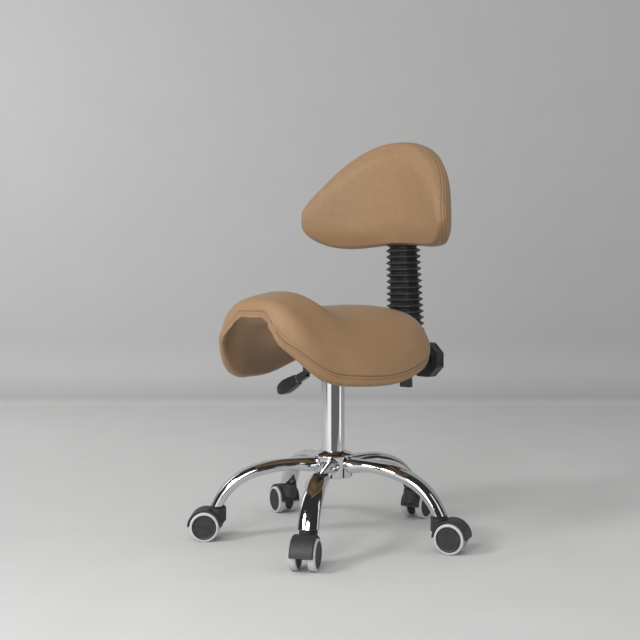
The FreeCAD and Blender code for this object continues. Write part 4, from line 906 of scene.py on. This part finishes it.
BELLOWS_LOW = 394.0 * MM
BELLOWS_HIGH = 635.5 * MM
BELLOWS_MIDDLE_Y = 254 * MM
BELLOWS_WIDTH = 70 * MM
BELLOWS_TOP_WIDTH = 62.0 * MM
BELLOWS_DEPTH = 61 * MM
BELLOWS_CORNER = 4 * MM
PLEATS = 17
PLEAT_FOLD = 6.7 * MM
PLEAT_CREST = 0.7 * MM


# Moulded grips

# The clamp knob: an eight-sided grip on a stud that points forward.
KNOB_SIDES = 8
KNOB_RADIUS = 44 * MM
KNOB_THICKNESS = 30 * MM
KNOB_FACE_Y = 346 * MM
KNOB_HEIGHT = 364 * MM
KNOB_ROUNDING = 1.6 * MM
# The face is dished, and the back has a deep recess: insets and depths.
KNOB_FACE_RIM = 9 * MM
KNOB_FACE_DISH = 1.6 * MM
KNOB_BACK_RIM = 11 * MM
KNOB_BACK_STEP = 2 * MM
KNOB_RECESS_RIM = 12 * MM
KNOB_RECESS_DEPTH = 8 * MM
KNOB_SCOOP_RIM = 4.5 * MM

# The chrome hub: height and radius along its turned outline, from the foot up.
HUB_OUTLINE = (
    (131 * MM, 40 * MM), (132.5 * MM, 42 * MM), (173.5 * MM, 42 * MM), (174.5 * MM, 44 * MM),
    (177.8 * MM, 44 * MM), (179.2 * MM, 42.8 * MM), (184.6 * MM, 31 * MM), (186 * MM, 29 * MM))
HUB_FOOT_RIM = 0.5 * MM
# A face whose middle is nearer to the axis than this is one of the hub's ends.
AXIS_SLACK = 1 * MM
HUB_ROUNDING = 0.5 * MM
COLUMN_RADIUS = 25 * MM
# The weld beads lie round the legs' roots: where the legs stand, and the bead's own sizes.
LEG_COUNT = 5
LEG_FIRST = math.radians(-58.8)
LEG_HEIGHT = 158.5 * MM
WELD_RADIUS = 17.6 * MM
WELD_BEAD = 1.7 * MM
WELD_FLATNESS = 0.78

# The lever's grip from its tip to its root: distance along, half depth and half height.
GRIP_TIP = Vector((-166 * MM, 0, 300 * MM))
GRIP_ROOT = Vector((-50 * MM, 0, 361 * MM))
GRIP_STATIONS = (
    (-0.5 * MM, 4.5 * MM, 5.0 * MM), (5 * MM, 7.5 * MM, 9.5 * MM), (14 * MM, 8.5 * MM, 13.5 * MM),
    (26 * MM, 9.0 * MM, 15.3 * MM), (39 * MM, 9.0 * MM, 15.0 * MM), (61 * MM, 8.4 * MM, 12.0 * MM),
    (68 * MM, 8.0 * MM, 10.8 * MM), (70 * MM, 6.3 * MM, 8.6 * MM), (76 * MM, 6.3 * MM, 8.4 * MM),
    (92 * MM, 6.0 * MM, 8.2 * MM), (100 * MM, 6.0 * MM, 8.0 * MM))
# The thumb's dish in the grip's broad side.
DISH_MIDDLE = 50 * MM
DISH_RIM = 3 * MM
DISH_SLOPE = 2.5 * MM
DISH_DEPTH = 3.2 * MM
GRIP_ROUNDING = 2.6 * MM
GRIP_START = 1 * MM


def round_edges(piece, width, segments, degrees):
    """Rounds every edge that is sharper than an angle, once the modifiers are applied."""
    rounding = piece.modifiers.new("Rounding", "BEVEL")
    rounding.width = width
    rounding.segments = segments
    rounding.limit_method = "ANGLE"
    rounding.angle_limit = math.radians(degrees)


def pick_faces(piece, wanted):
    """Opens the piece for editing with those faces selected that the test accepts."""
    edit(piece)
    bpy.ops.mesh.select_mode(type="FACE")
    bpy.ops.mesh.select_all(action="DESELECT")
    leave_edit()
    for face in piece.data.polygons:
        face.select = wanted(face)
    bpy.ops.object.mode_set(mode="EDIT")


def grow(piece, axis, stations):
    """Draws a piece out along one axis from its end face, through places and half sizes."""
    pick_faces(piece, lambda face: face.normal[axis] > 0.9)
    place, *halves = stations[0]
    sides = [side for side in range(3) if side != axis]
    for next_place, *next_halves in stations[1:]:
        step = Vector()
        step[axis] = next_place - place
        bpy.ops.mesh.extrude_region_move(TRANSFORM_OT_translate={"value": step})
        ratio = Vector((1, 1, 1))
        for side, new, old in zip(sides, next_halves, halves):
            ratio[side] = new / old
        bpy.ops.transform.resize(value=ratio, center_override=(0, 0, 0))
        place, halves = next_place, next_halves
    leave_edit()


def turned_about_y(angle):
    """A turn about the knob's own axis."""
    middle = Vector((0, 0, KNOB_HEIGHT))
    return (Matrix.Translation(middle) @ Matrix.Rotation(angle, 4, "Y")
            @ Matrix.Translation(-middle))


def is_knob_side(face):
    """Whether a face is one of the knob's eight grip sides."""
    out = Vector((face.center.x, 0, face.center.z - KNOB_HEIGHT))
    return abs(face.normal.y) < 0.1 and out.length > 0.8 * KNOB_RADIUS


# Steps, in the order in which they run

class STOOL_OT_finishes(bpy.types.Operator):
    """Mixes the finishes and gives each part of the frame its own"""

    bl_idname = "stool.finishes"
    bl_label = "Finishes"

    def execute(self, context):
        mix_finishes()
        for row in frame["record"]["subparts"]:
            node = frame["nodes"][row["node"]]
            node.data.materials.clear()
            node.data.materials.append(FINISHES[row["material_slot"]])
            smooth_by_angle(node)
        return {"FINISHED"}


class STOOL_OT_seat(bpy.types.Operator):
    """Upholsters the saddle: leather over foam, one seam round it and topstitching below"""

    bl_idname = "stool.seat"
    bl_label = "Saddle Seat"

    def execute(self, context):
        sizes = context.scene.stool_sizes
        piece = foam_pad("seat_cushion", "saddle_leather", SEAT_SHRINK, sizes.seat_swell)
        even_front(piece)
        seam = Seam(piece, seat_seam_loop())
        sew(piece, [seam], 1.0, sizes.stitch_setback)
        dress(piece, FINISHES["tan_leather"], "seat", "tan_leather", "seat_cushion")
        sewn = Seam(piece, seam.points)
        stitches = thread_stitches("saddle_topstitching", sewn, sizes.stitch_setback)
        dress(stitches, FINISHES["thread"], "seat", "tan_leather")
        return {"FINISHED"}


class STOOL_OT_backrest(bpy.types.Operator):
    """Upholsters the backrest: a curved pad with two seams round its side band"""

    bl_idname = "stool.backrest"
    bl_label = "Backrest"

    def execute(self, context):
        sizes = context.scene.stool_sizes
        piece = foam_pad("backrest_cushion", "backrest_leather", BACK_SHRINK,
                         sizes.back_swell)
        rounder_ends(piece)
        half_gap = sizes.back_seam_gap / 2
        seams = [Seam(piece, back_seam_loop(BACK_SEAM_SETBACK + side * half_gap),
                      rounds=BACK_SEAM_ROUNDS)
                 for side in (-1, 1)]
        sew(piece, seams, BACK_SEAM_SHARE)
        dress(piece, FINISHES["tan_leather"], "back", "tan_leather", "backrest_cushion")
        return {"FINISHED"}


class STOOL_OT_bellows(bpy.types.Operator):
    """Moulds the pleated rubber sleeve that covers the backrest's upright"""

    bl_idname = "stool.bellows"
    bl_label = "Bellows"

    def execute(self, context):
        sizes = context.scene.stool_sizes
        wide, deep = BELLOWS_WIDTH, BELLOWS_DEPTH
        top_share = BELLOWS_TOP_WIDTH / BELLOWS_WIDTH
        middle = Vector((0, BELLOWS_MIDDLE_Y, BELLOWS_LOW))
        bpy.ops.object.select_all(action="DESELECT")
        bpy.ops.mesh.primitive_plane_add(size=1, location=middle)
        piece = context.object
        piece.name = "bellows_rubber"
        piece.scale = (wide, deep, 1)
        settle(piece)
        edit(piece)
        bpy.ops.mesh.select_all(action="SELECT")
        bpy.ops.mesh.bevel(offset=BELLOWS_CORNER, segments=2, affect="VERTICES")
        bpy.ops.mesh.delete(type="ONLY_FACE")
        bpy.ops.mesh.select_all(action="SELECT")
        length = BELLOWS_HIGH - BELLOWS_LOW
        pitch = length / PLEATS
        # Heights of a pleat's rings above its lower crest and how far each is drawn in.
        profile = ((PLEAT_CREST, 0.0), (pitch / 2 - PLEAT_CREST, PLEAT_FOLD),
                   (pitch / 2 + PLEAT_CREST, PLEAT_FOLD), (pitch - PLEAT_CREST, 0.0),
                   (pitch, 0.0))
        height, inset = 0.0, 0.0
        for pleat in range(PLEATS):
            for rise, drawn in profile:
                bpy.ops.mesh.extrude_edges_move()
                target = pleat * pitch + rise
                bpy.ops.transform.translate(value=(0, 0, target - height))
                taper_before = 1 + (top_share - 1) * height / length
                taper = 1 + (top_share - 1) * target / length
                across = (wide * taper / 2 - drawn) / (wide * taper_before / 2 - inset)
                along = (deep * taper / 2 - drawn) / (deep * taper_before / 2 - inset)
                bpy.ops.transform.resize(value=(across, along, 1),
                                         center_override=middle + Vector((0, 0, target)))
                height, inset = target, drawn
        bpy.ops.mesh.select_all(action="SELECT")
        bpy.ops.mesh.normals_make_consistent(inside=False)
        leave_edit()
        wall = piece.modifiers.new("Wall", "SOLIDIFY")
        wall.thickness = sizes.bellows_wall
        wall.offset = -1
        apply_modifiers(piece)
        piece.data.transform(LEAN)
        smooth_by_angle(piece, 40)
        dress(piece, FINISHES["bellows_rubber"], None, "bellows_rubber", "bellows")
        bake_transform(piece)
        return {"FINISHED"}


class STOOL_OT_hub(bpy.types.Operator):
    """Turns the chrome hub drum and lays a weld bead round each leg's root"""

    bl_idname = "stool.hub"
    bl_label = "Hub"

    def execute(self, context):
        foot, radius = HUB_OUTLINE[0]
        bpy.ops.object.select_all(action="DESELECT")
        bpy.ops.mesh.primitive_cylinder_add(
            vertices=72, radius=radius, depth=HUB_FOOT_RIM,
            location=(0, 0, foot - HUB_FOOT_RIM / 2))
        piece = context.object
        piece.name = "hub_drum"
        settle(piece)
        grow(piece, 2, [(height, half, half) for height, half in HUB_OUTLINE])
        for way, end_radius in ((1, HUB_OUTLINE[-1][1]), (-1, radius)):
            pick_faces(piece, lambda face: face.normal.z * way > 0.9
                       and face.center.xy.length < AXIS_SLACK)
            bpy.ops.mesh.inset(thickness=end_radius - COLUMN_RADIUS)
            leave_edit()
        pick_faces(piece, lambda face: abs(face.normal.z) > 0.9
                   and face.center.xy.length < AXIS_SLACK)
        bpy.ops.mesh.bridge_edge_loops()
        leave_edit()
        round_edges(piece, HUB_ROUNDING, 2, 30)
        apply_modifiers(piece)
        smooth_by_angle(piece, 40)
        dress(piece, FINISHES["chrome"], "base", "chrome", "base_hub")
        bpy.ops.object.select_all(action="DESELECT")
        bpy.ops.mesh.primitive_torus_add(
            major_segments=40, minor_segments=8, major_radius=WELD_RADIUS,
            minor_radius=WELD_BEAD, location=(HUB_OUTLINE[1][1], 0, LEG_HEIGHT),
            rotation=(0, math.pi / 2, 0))
        bead = context.object
        settle(bead)
        edit(bead)
        bpy.ops.mesh.select_all(action="SELECT")
        bpy.ops.transform.resize(value=(1, 1, WELD_FLATNESS),
                                 center_override=(0, 0, LEG_HEIGHT))
        leave_edit()
        smooth_by_angle(bead, 80)
        for leg in range(LEG_COUNT):
            turn = Matrix.Rotation(LEG_FIRST + leg * 2 * math.pi / LEG_COUNT, 4, "Z")
            dress(copied(bead, "weld_bead_{}".format(leg + 1), turn), FINISHES["chrome"],
                  "base", "chrome")
        bpy.data.objects.remove(bead)
        return {"FINISHED"}


class STOOL_OT_knob(bpy.types.Operator):
    """Moulds the eight-sided clamp knob with a finger scoop in every side"""

    bl_idname = "stool.knob"
    bl_label = "Clamp Knob"

    def execute(self, context):
        sizes = context.scene.stool_sizes
        bpy.ops.object.select_all(action="DESELECT")
        bpy.ops.mesh.primitive_cylinder_add(
            vertices=KNOB_SIDES, radius=KNOB_RADIUS, depth=KNOB_THICKNESS,
            rotation=(math.pi / 2, 0, 0),
            location=(0, KNOB_FACE_Y - KNOB_THICKNESS / 2, KNOB_HEIGHT))
        piece = context.object
        piece.name = "clamp_knob_moulding"
        settle(piece)
        piece.data.transform(turned_about_y(math.pi / KNOB_SIDES))
        pick_faces(piece, lambda face: face.normal.y > 0.9)
        bpy.ops.mesh.inset(thickness=KNOB_FACE_RIM)
        bpy.ops.transform.translate(value=(0, -KNOB_FACE_DISH, 0))
        leave_edit()
        pick_faces(piece, lambda face: face.normal.y < -0.9)
        bpy.ops.mesh.inset(thickness=KNOB_BACK_RIM)
        bpy.ops.transform.translate(value=(0, KNOB_BACK_STEP, 0))
        bpy.ops.mesh.inset(thickness=KNOB_RECESS_RIM)
        bpy.ops.mesh.extrude_region_move(
            TRANSFORM_OT_translate={"value": (0, -KNOB_RECESS_DEPTH, 0)})
        leave_edit()
        pick_faces(piece, is_knob_side)
        bpy.ops.mesh.inset(thickness=KNOB_SCOOP_RIM, use_individual=True)
        bpy.ops.mesh.inset(thickness=KNOB_SCOOP_RIM, depth=-sizes.knob_scoop,
                           use_individual=True)
        leave_edit()
        round_edges(piece, KNOB_ROUNDING, 3, 30)
        apply_modifiers(piece)
        smooth_by_angle(piece, 50)
        dress(piece, FINISHES["black_plastic"], "knob", "black_plastic", "clamp_knob")
        return {"FINISHED"}


class STOOL_OT_lever_grip(bpy.types.Operator):
    """Moulds the lever's grip: a leaf-shaped blade with a thumb dish, and its collar"""

    bl_idname = "stool.lever_grip"
    bl_label = "Lever Grip"

    def execute(self, context):
        along = (GRIP_ROOT - GRIP_TIP).normalized()
        slope = math.atan2(along.z, along.x)
        bpy.ops.object.select_all(action="DESELECT")
        bpy.ops.mesh.primitive_cube_add(size=1, location=(0, 0, 0))
        piece = context.object
        piece.name = "lever_grip"
        _, deep, tall = GRIP_STATIONS[0]
        piece.scale = (GRIP_START, 2 * deep, 2 * tall)
        settle(piece)
        grow(piece, 0, GRIP_STATIONS)
        pick_faces(piece, lambda face: face.normal.y < -0.7
                   and abs(face.center.x - DISH_MIDDLE) < DISH_RIM)
        bpy.ops.mesh.inset(thickness=DISH_RIM)
        bpy.ops.mesh.inset(thickness=DISH_SLOPE)
        bpy.ops.transform.translate(value=(0, DISH_DEPTH, 0))
        leave_edit()
        round_edges(piece, GRIP_ROUNDING, 2, 34)
        finer = piece.modifiers.new("Finer", "SUBSURF")
        finer.levels = finer.render_levels = 2
        apply_modifiers(piece)
        piece.data.transform(Matrix.Translation(GRIP_TIP) @ Matrix.Rotation(-slope, 4, "Y"))
        smooth_by_angle(piece, 60)
        dress(piece, FINISHES["black_plastic"], "lever", "black_plastic", "lever_paddle")
        return {"FINISHED"}


# Each lamp: name, its power's property, width, height, place and what it faces. Places are
# given as metres to the right of the view, away from the camera and up, from the column's foot.
LAMPS = (
    ("key soft light", "key_power", 0.75, 0.75, (-2.4, -1.6, 2.2), (0, 0, 0.45)),
    ("camera soft light", "camera_power", 1.0, 1.7, (-0.95, -2.6, 1.4), (0, 0, 0.8)),
    ("front soft light", "front_power", 1.3, 1.6, (-1.15, -1.4, 0.5), (0, 0, 0.5)),
    ("side strip light", "side_power", 0.35, 1.3, (1.25, -0.36, 0.67), (0, 0, 0.67)),
    ("wall light", "wall_power", 1.2, 1.2, (-2.2, 1.2, 1.6), (-1.2, 2.67, 0.8)))
# The photograph's camera, worked out from the casters, the legs' circle and the horizon. The
# sensor and the lens are in millimetres, as the camera's panel has them.
SENSOR_WIDTH = 36
FOCAL_LENGTH = 58.1
LENS_SHIFT = -0.0525
CAMERA_ASIDE = -28.2 * MM
# The sweep of floor and wall, in metres.
SWEEP_WIDTH = 14
WALL_HEIGHT = 6
FOOT_RADIUS = 0.28
EDGE_SLACK = 0.01
# The wall's foot has painted shade: it is darker up to the first height and meets the wall's
# colour at the second.
FOOT_SHADE = 0.9
FOOT_LOW = 0.03
FOOT_HIGH = 0.14


class STOOL_OT_studio(bpy.types.Operator):
    """Sets up the plain studio: floor and wall in one sweep, soft lights and the camera"""

    bl_idname = "stool.studio"
    bl_label = "Studio"

    def execute(self, context):
        studio = context.scene.stool_studio
        azimuth = studio.camera_azimuth
        away = Vector((-math.sin(azimuth), math.cos(azimuth), 0))
        right = Vector((math.cos(azimuth), math.sin(azimuth), 0))
        build_sweep(studio, away, azimuth)
        world = bpy.data.worlds.new("studio air")
        context.scene.world = world
        world.use_nodes = True
        tree = world.node_tree
        tree.nodes.clear()
        path = add_node(tree, "ShaderNodeLightPath")
        seen = add_node(tree, "ShaderNodeBackground", links={
            "Color": linear(studio.wall_colour), "Strength": 0.92})
        air = add_node(tree, "ShaderNodeBackground", links={
            "Color": linear("#ffffff"), "Strength": studio.air})
        direction = add_node(tree, "ShaderNodeTexCoord")
        rise = add_node(tree, "ShaderNodeSeparateXYZ", links={
            "Vector": direction.outputs["Generated"]})
        mirror = add_node(tree, "ShaderNodeBackground", links={
            "Color": linear("#ffffff"),
            "Strength": spread(tree, rise.outputs["Z"], -0.1, 0.06, 0.15, 0.035)})
        lit = add_node(tree, "ShaderNodeMixShader", links={
            0: path.outputs["Is Glossy Ray"], 1: air.outputs[0], 2: mirror.outputs[0]})
        both = add_node(tree, "ShaderNodeMixShader", links={
            0: path.outputs["Is Camera Ray"], 1: lit.outputs[0], 2: seen.outputs[0]})
        add_node(tree, "ShaderNodeOutputWorld", links={"Surface": both.outputs[0]})
        for name, power, width, height, place, target in LAMPS:
            place, target = (right * r + away * a + Vector((0, 0, z))
                             for r, a, z in (place, target))
            hang_lamp(name, getattr(studio, power), width, height, place, target)
        lens = bpy.data.cameras.new("photograph")
        camera = bpy.data.objects.new("photograph", lens)
        context.scene.collection.objects.link(camera)
        lens.sensor_width = SENSOR_WIDTH
        lens.lens = FOCAL_LENGTH
        lens.shift_y = LENS_SHIFT
        camera.location = (right * CAMERA_ASIDE - away * studio.camera_distance
                           + Vector((0, 0, studio.camera_height)))
        camera.rotation_euler = (math.pi / 2, 0, azimuth)
        context.scene.camera = camera
        context.scene.view_settings.view_transform = "Standard"
        return {"FINISHED"}


def hang_lamp(name, power, width, height, place, target):
    """A soft rectangular lamp that faces a target and doesn't show in the picture."""
    light = bpy.data.lights.new(name, "AREA")
    light.shape = "RECTANGLE"
    light.size = width
    light.size_y = height
    light.energy = power
    lamp = bpy.data.objects.new(name, light)
    bpy.context.scene.collection.objects.link(lamp)
    lamp.location = place
    lamp.rotation_euler = (target - place).to_track_quat("-Z", "Y").to_euler()
    lamp.visible_camera = False
    return lamp


def build_sweep(studio, away, azimuth):
    """Floor and wall with a rounded foot, square to the camera."""
    bpy.ops.object.select_all(action="DESELECT")
    bpy.ops.mesh.primitive_plane_add(size=1, location=(0, 0, 0), rotation=(0, 0, azimuth))
    sweep = bpy.context.object
    sweep.name = "studio_floor"
    depth = studio.wall_distance + studio.floor_reach
    sweep.scale = (SWEEP_WIDTH, depth, 1)
    sweep.location = away * (depth / 2 - studio.floor_reach)
    settle(sweep)
    far = studio.wall_distance - EDGE_SLACK
    edit(sweep)
    bpy.ops.mesh.select_mode(type="EDGE")
    bpy.ops.mesh.select_all(action="DESELECT")
    leave_edit()
    vertices = sweep.data.vertices
    for edge in sweep.data.edges:
        edge.select = all(vertices[i].co.dot(away) > far for i in edge.vertices)
    edit(sweep)
    bpy.ops.mesh.extrude_edges_move()
    bpy.ops.transform.translate(value=(0, 0, WALL_HEIGHT))
    bpy.ops.mesh.select_all(action="DESELECT")
    leave_edit()
    for edge in sweep.data.edges:
        edge.select = all(vertices[i].co.dot(away) > far and abs(vertices[i].co.z) < EDGE_SLACK
                          for i in edge.vertices)
    edit(sweep)
    bpy.ops.mesh.bevel(offset=FOOT_RADIUS, segments=12, affect="EDGES")
    leave_edit()
    for polygon in sweep.data.polygons:
        polygon.use_smooth = True
    finish, tree = new_finish("matt studio paint")
    where = add_node(tree, "ShaderNodeTexCoord")
    height = add_node(tree, "ShaderNodeSeparateXYZ", links={"Vector": where.outputs["Object"]})
    clouds = add_node(tree, "ShaderNodeTexNoise", links={
        "Vector": object_point(tree, 0.9), "Detail": 3.0})
    floor = linear(studio.floor_colour)
    wall = linear(studio.wall_colour)
    # Painted shade in the fold where the floor meets the wall.
    foot = [c * FOOT_SHADE for c in wall[:3]] + [1]
    tone = mixed(tree, spread(tree, height.outputs["Z"], 0.0, FOOT_LOW, 0.0, 1.0), floor, foot)
    tone = mixed(tree, spread(tree, height.outputs["Z"], FOOT_LOW, FOOT_HIGH, 0.0, 1.0), tone,
                 wall)
    worn = mixed(tree, spread(tree, clouds.outputs["Fac"], 0.3, 0.7, 0.0, 0.10), tone,
                 [c * 0.8 for c in wall[:3]] + [1])
    shader = add_node(tree, "ShaderNodeBsdfPrincipled", links={
        "Base Color": worn, "Roughness": 0.85, "IOR": 1.45})
    close_finish(tree, shader)
    sweep.data.materials.append(finish)


class STOOL_PT_panel(bpy.types.Panel):
    """The stool's steps and their sizes, colours and studio"""

    bl_idname = "STOOL_PT_panel"
    bl_label = "Saddle Stool"
    bl_space_type = "VIEW_3D"
    bl_region_type = "UI"
    bl_category = "Stool"

    def draw(self, context):
        scene = context.scene
        for operator in STEPS:
            self.layout.operator(operator.bl_idname)
        for group in (scene.stool_sizes, scene.stool_colours, scene.stool_studio):
            box = self.layout.box()
            for word in group.bl_rna.properties.keys():
                if word not in ("rna_type", "name"):
                    box.prop(group, word)


STEPS = (STOOL_OT_finishes, STOOL_OT_seat, STOOL_OT_backrest, STOOL_OT_bellows, STOOL_OT_hub,
         STOOL_OT_knob, STOOL_OT_lever_grip, STOOL_OT_studio)
CLASSES = (StoolSizes, StoolColours, StudioSettings) + STEPS + (STOOL_PT_panel,)


def register():
    for item in CLASSES:
        bpy.utils.register_class(item)
    bpy.types.Scene.stool_sizes = bpy.props.PointerProperty(type=StoolSizes)
    bpy.types.Scene.stool_colours = bpy.props.PointerProperty(type=StoolColours)
    bpy.types.Scene.stool_studio = bpy.props.PointerProperty(type=StudioSettings)


def unregister():
    del bpy.types.Scene.stool_studio
    del bpy.types.Scene.stool_colours
    del bpy.types.Scene.stool_sizes
    for item in reversed(CLASSES):
        bpy.utils.unregister_class(item)


def main():
    register()
    bpy.ops.stool.finishes()
    bpy.ops.stool.seat()
    bpy.ops.stool.backrest()
    bpy.ops.stool.bellows()
    bpy.ops.stool.hub()
    bpy.ops.stool.knob()
    bpy.ops.stool.lever_grip()
    bpy.ops.stool.studio()


if __name__ == "__main__":
    main()
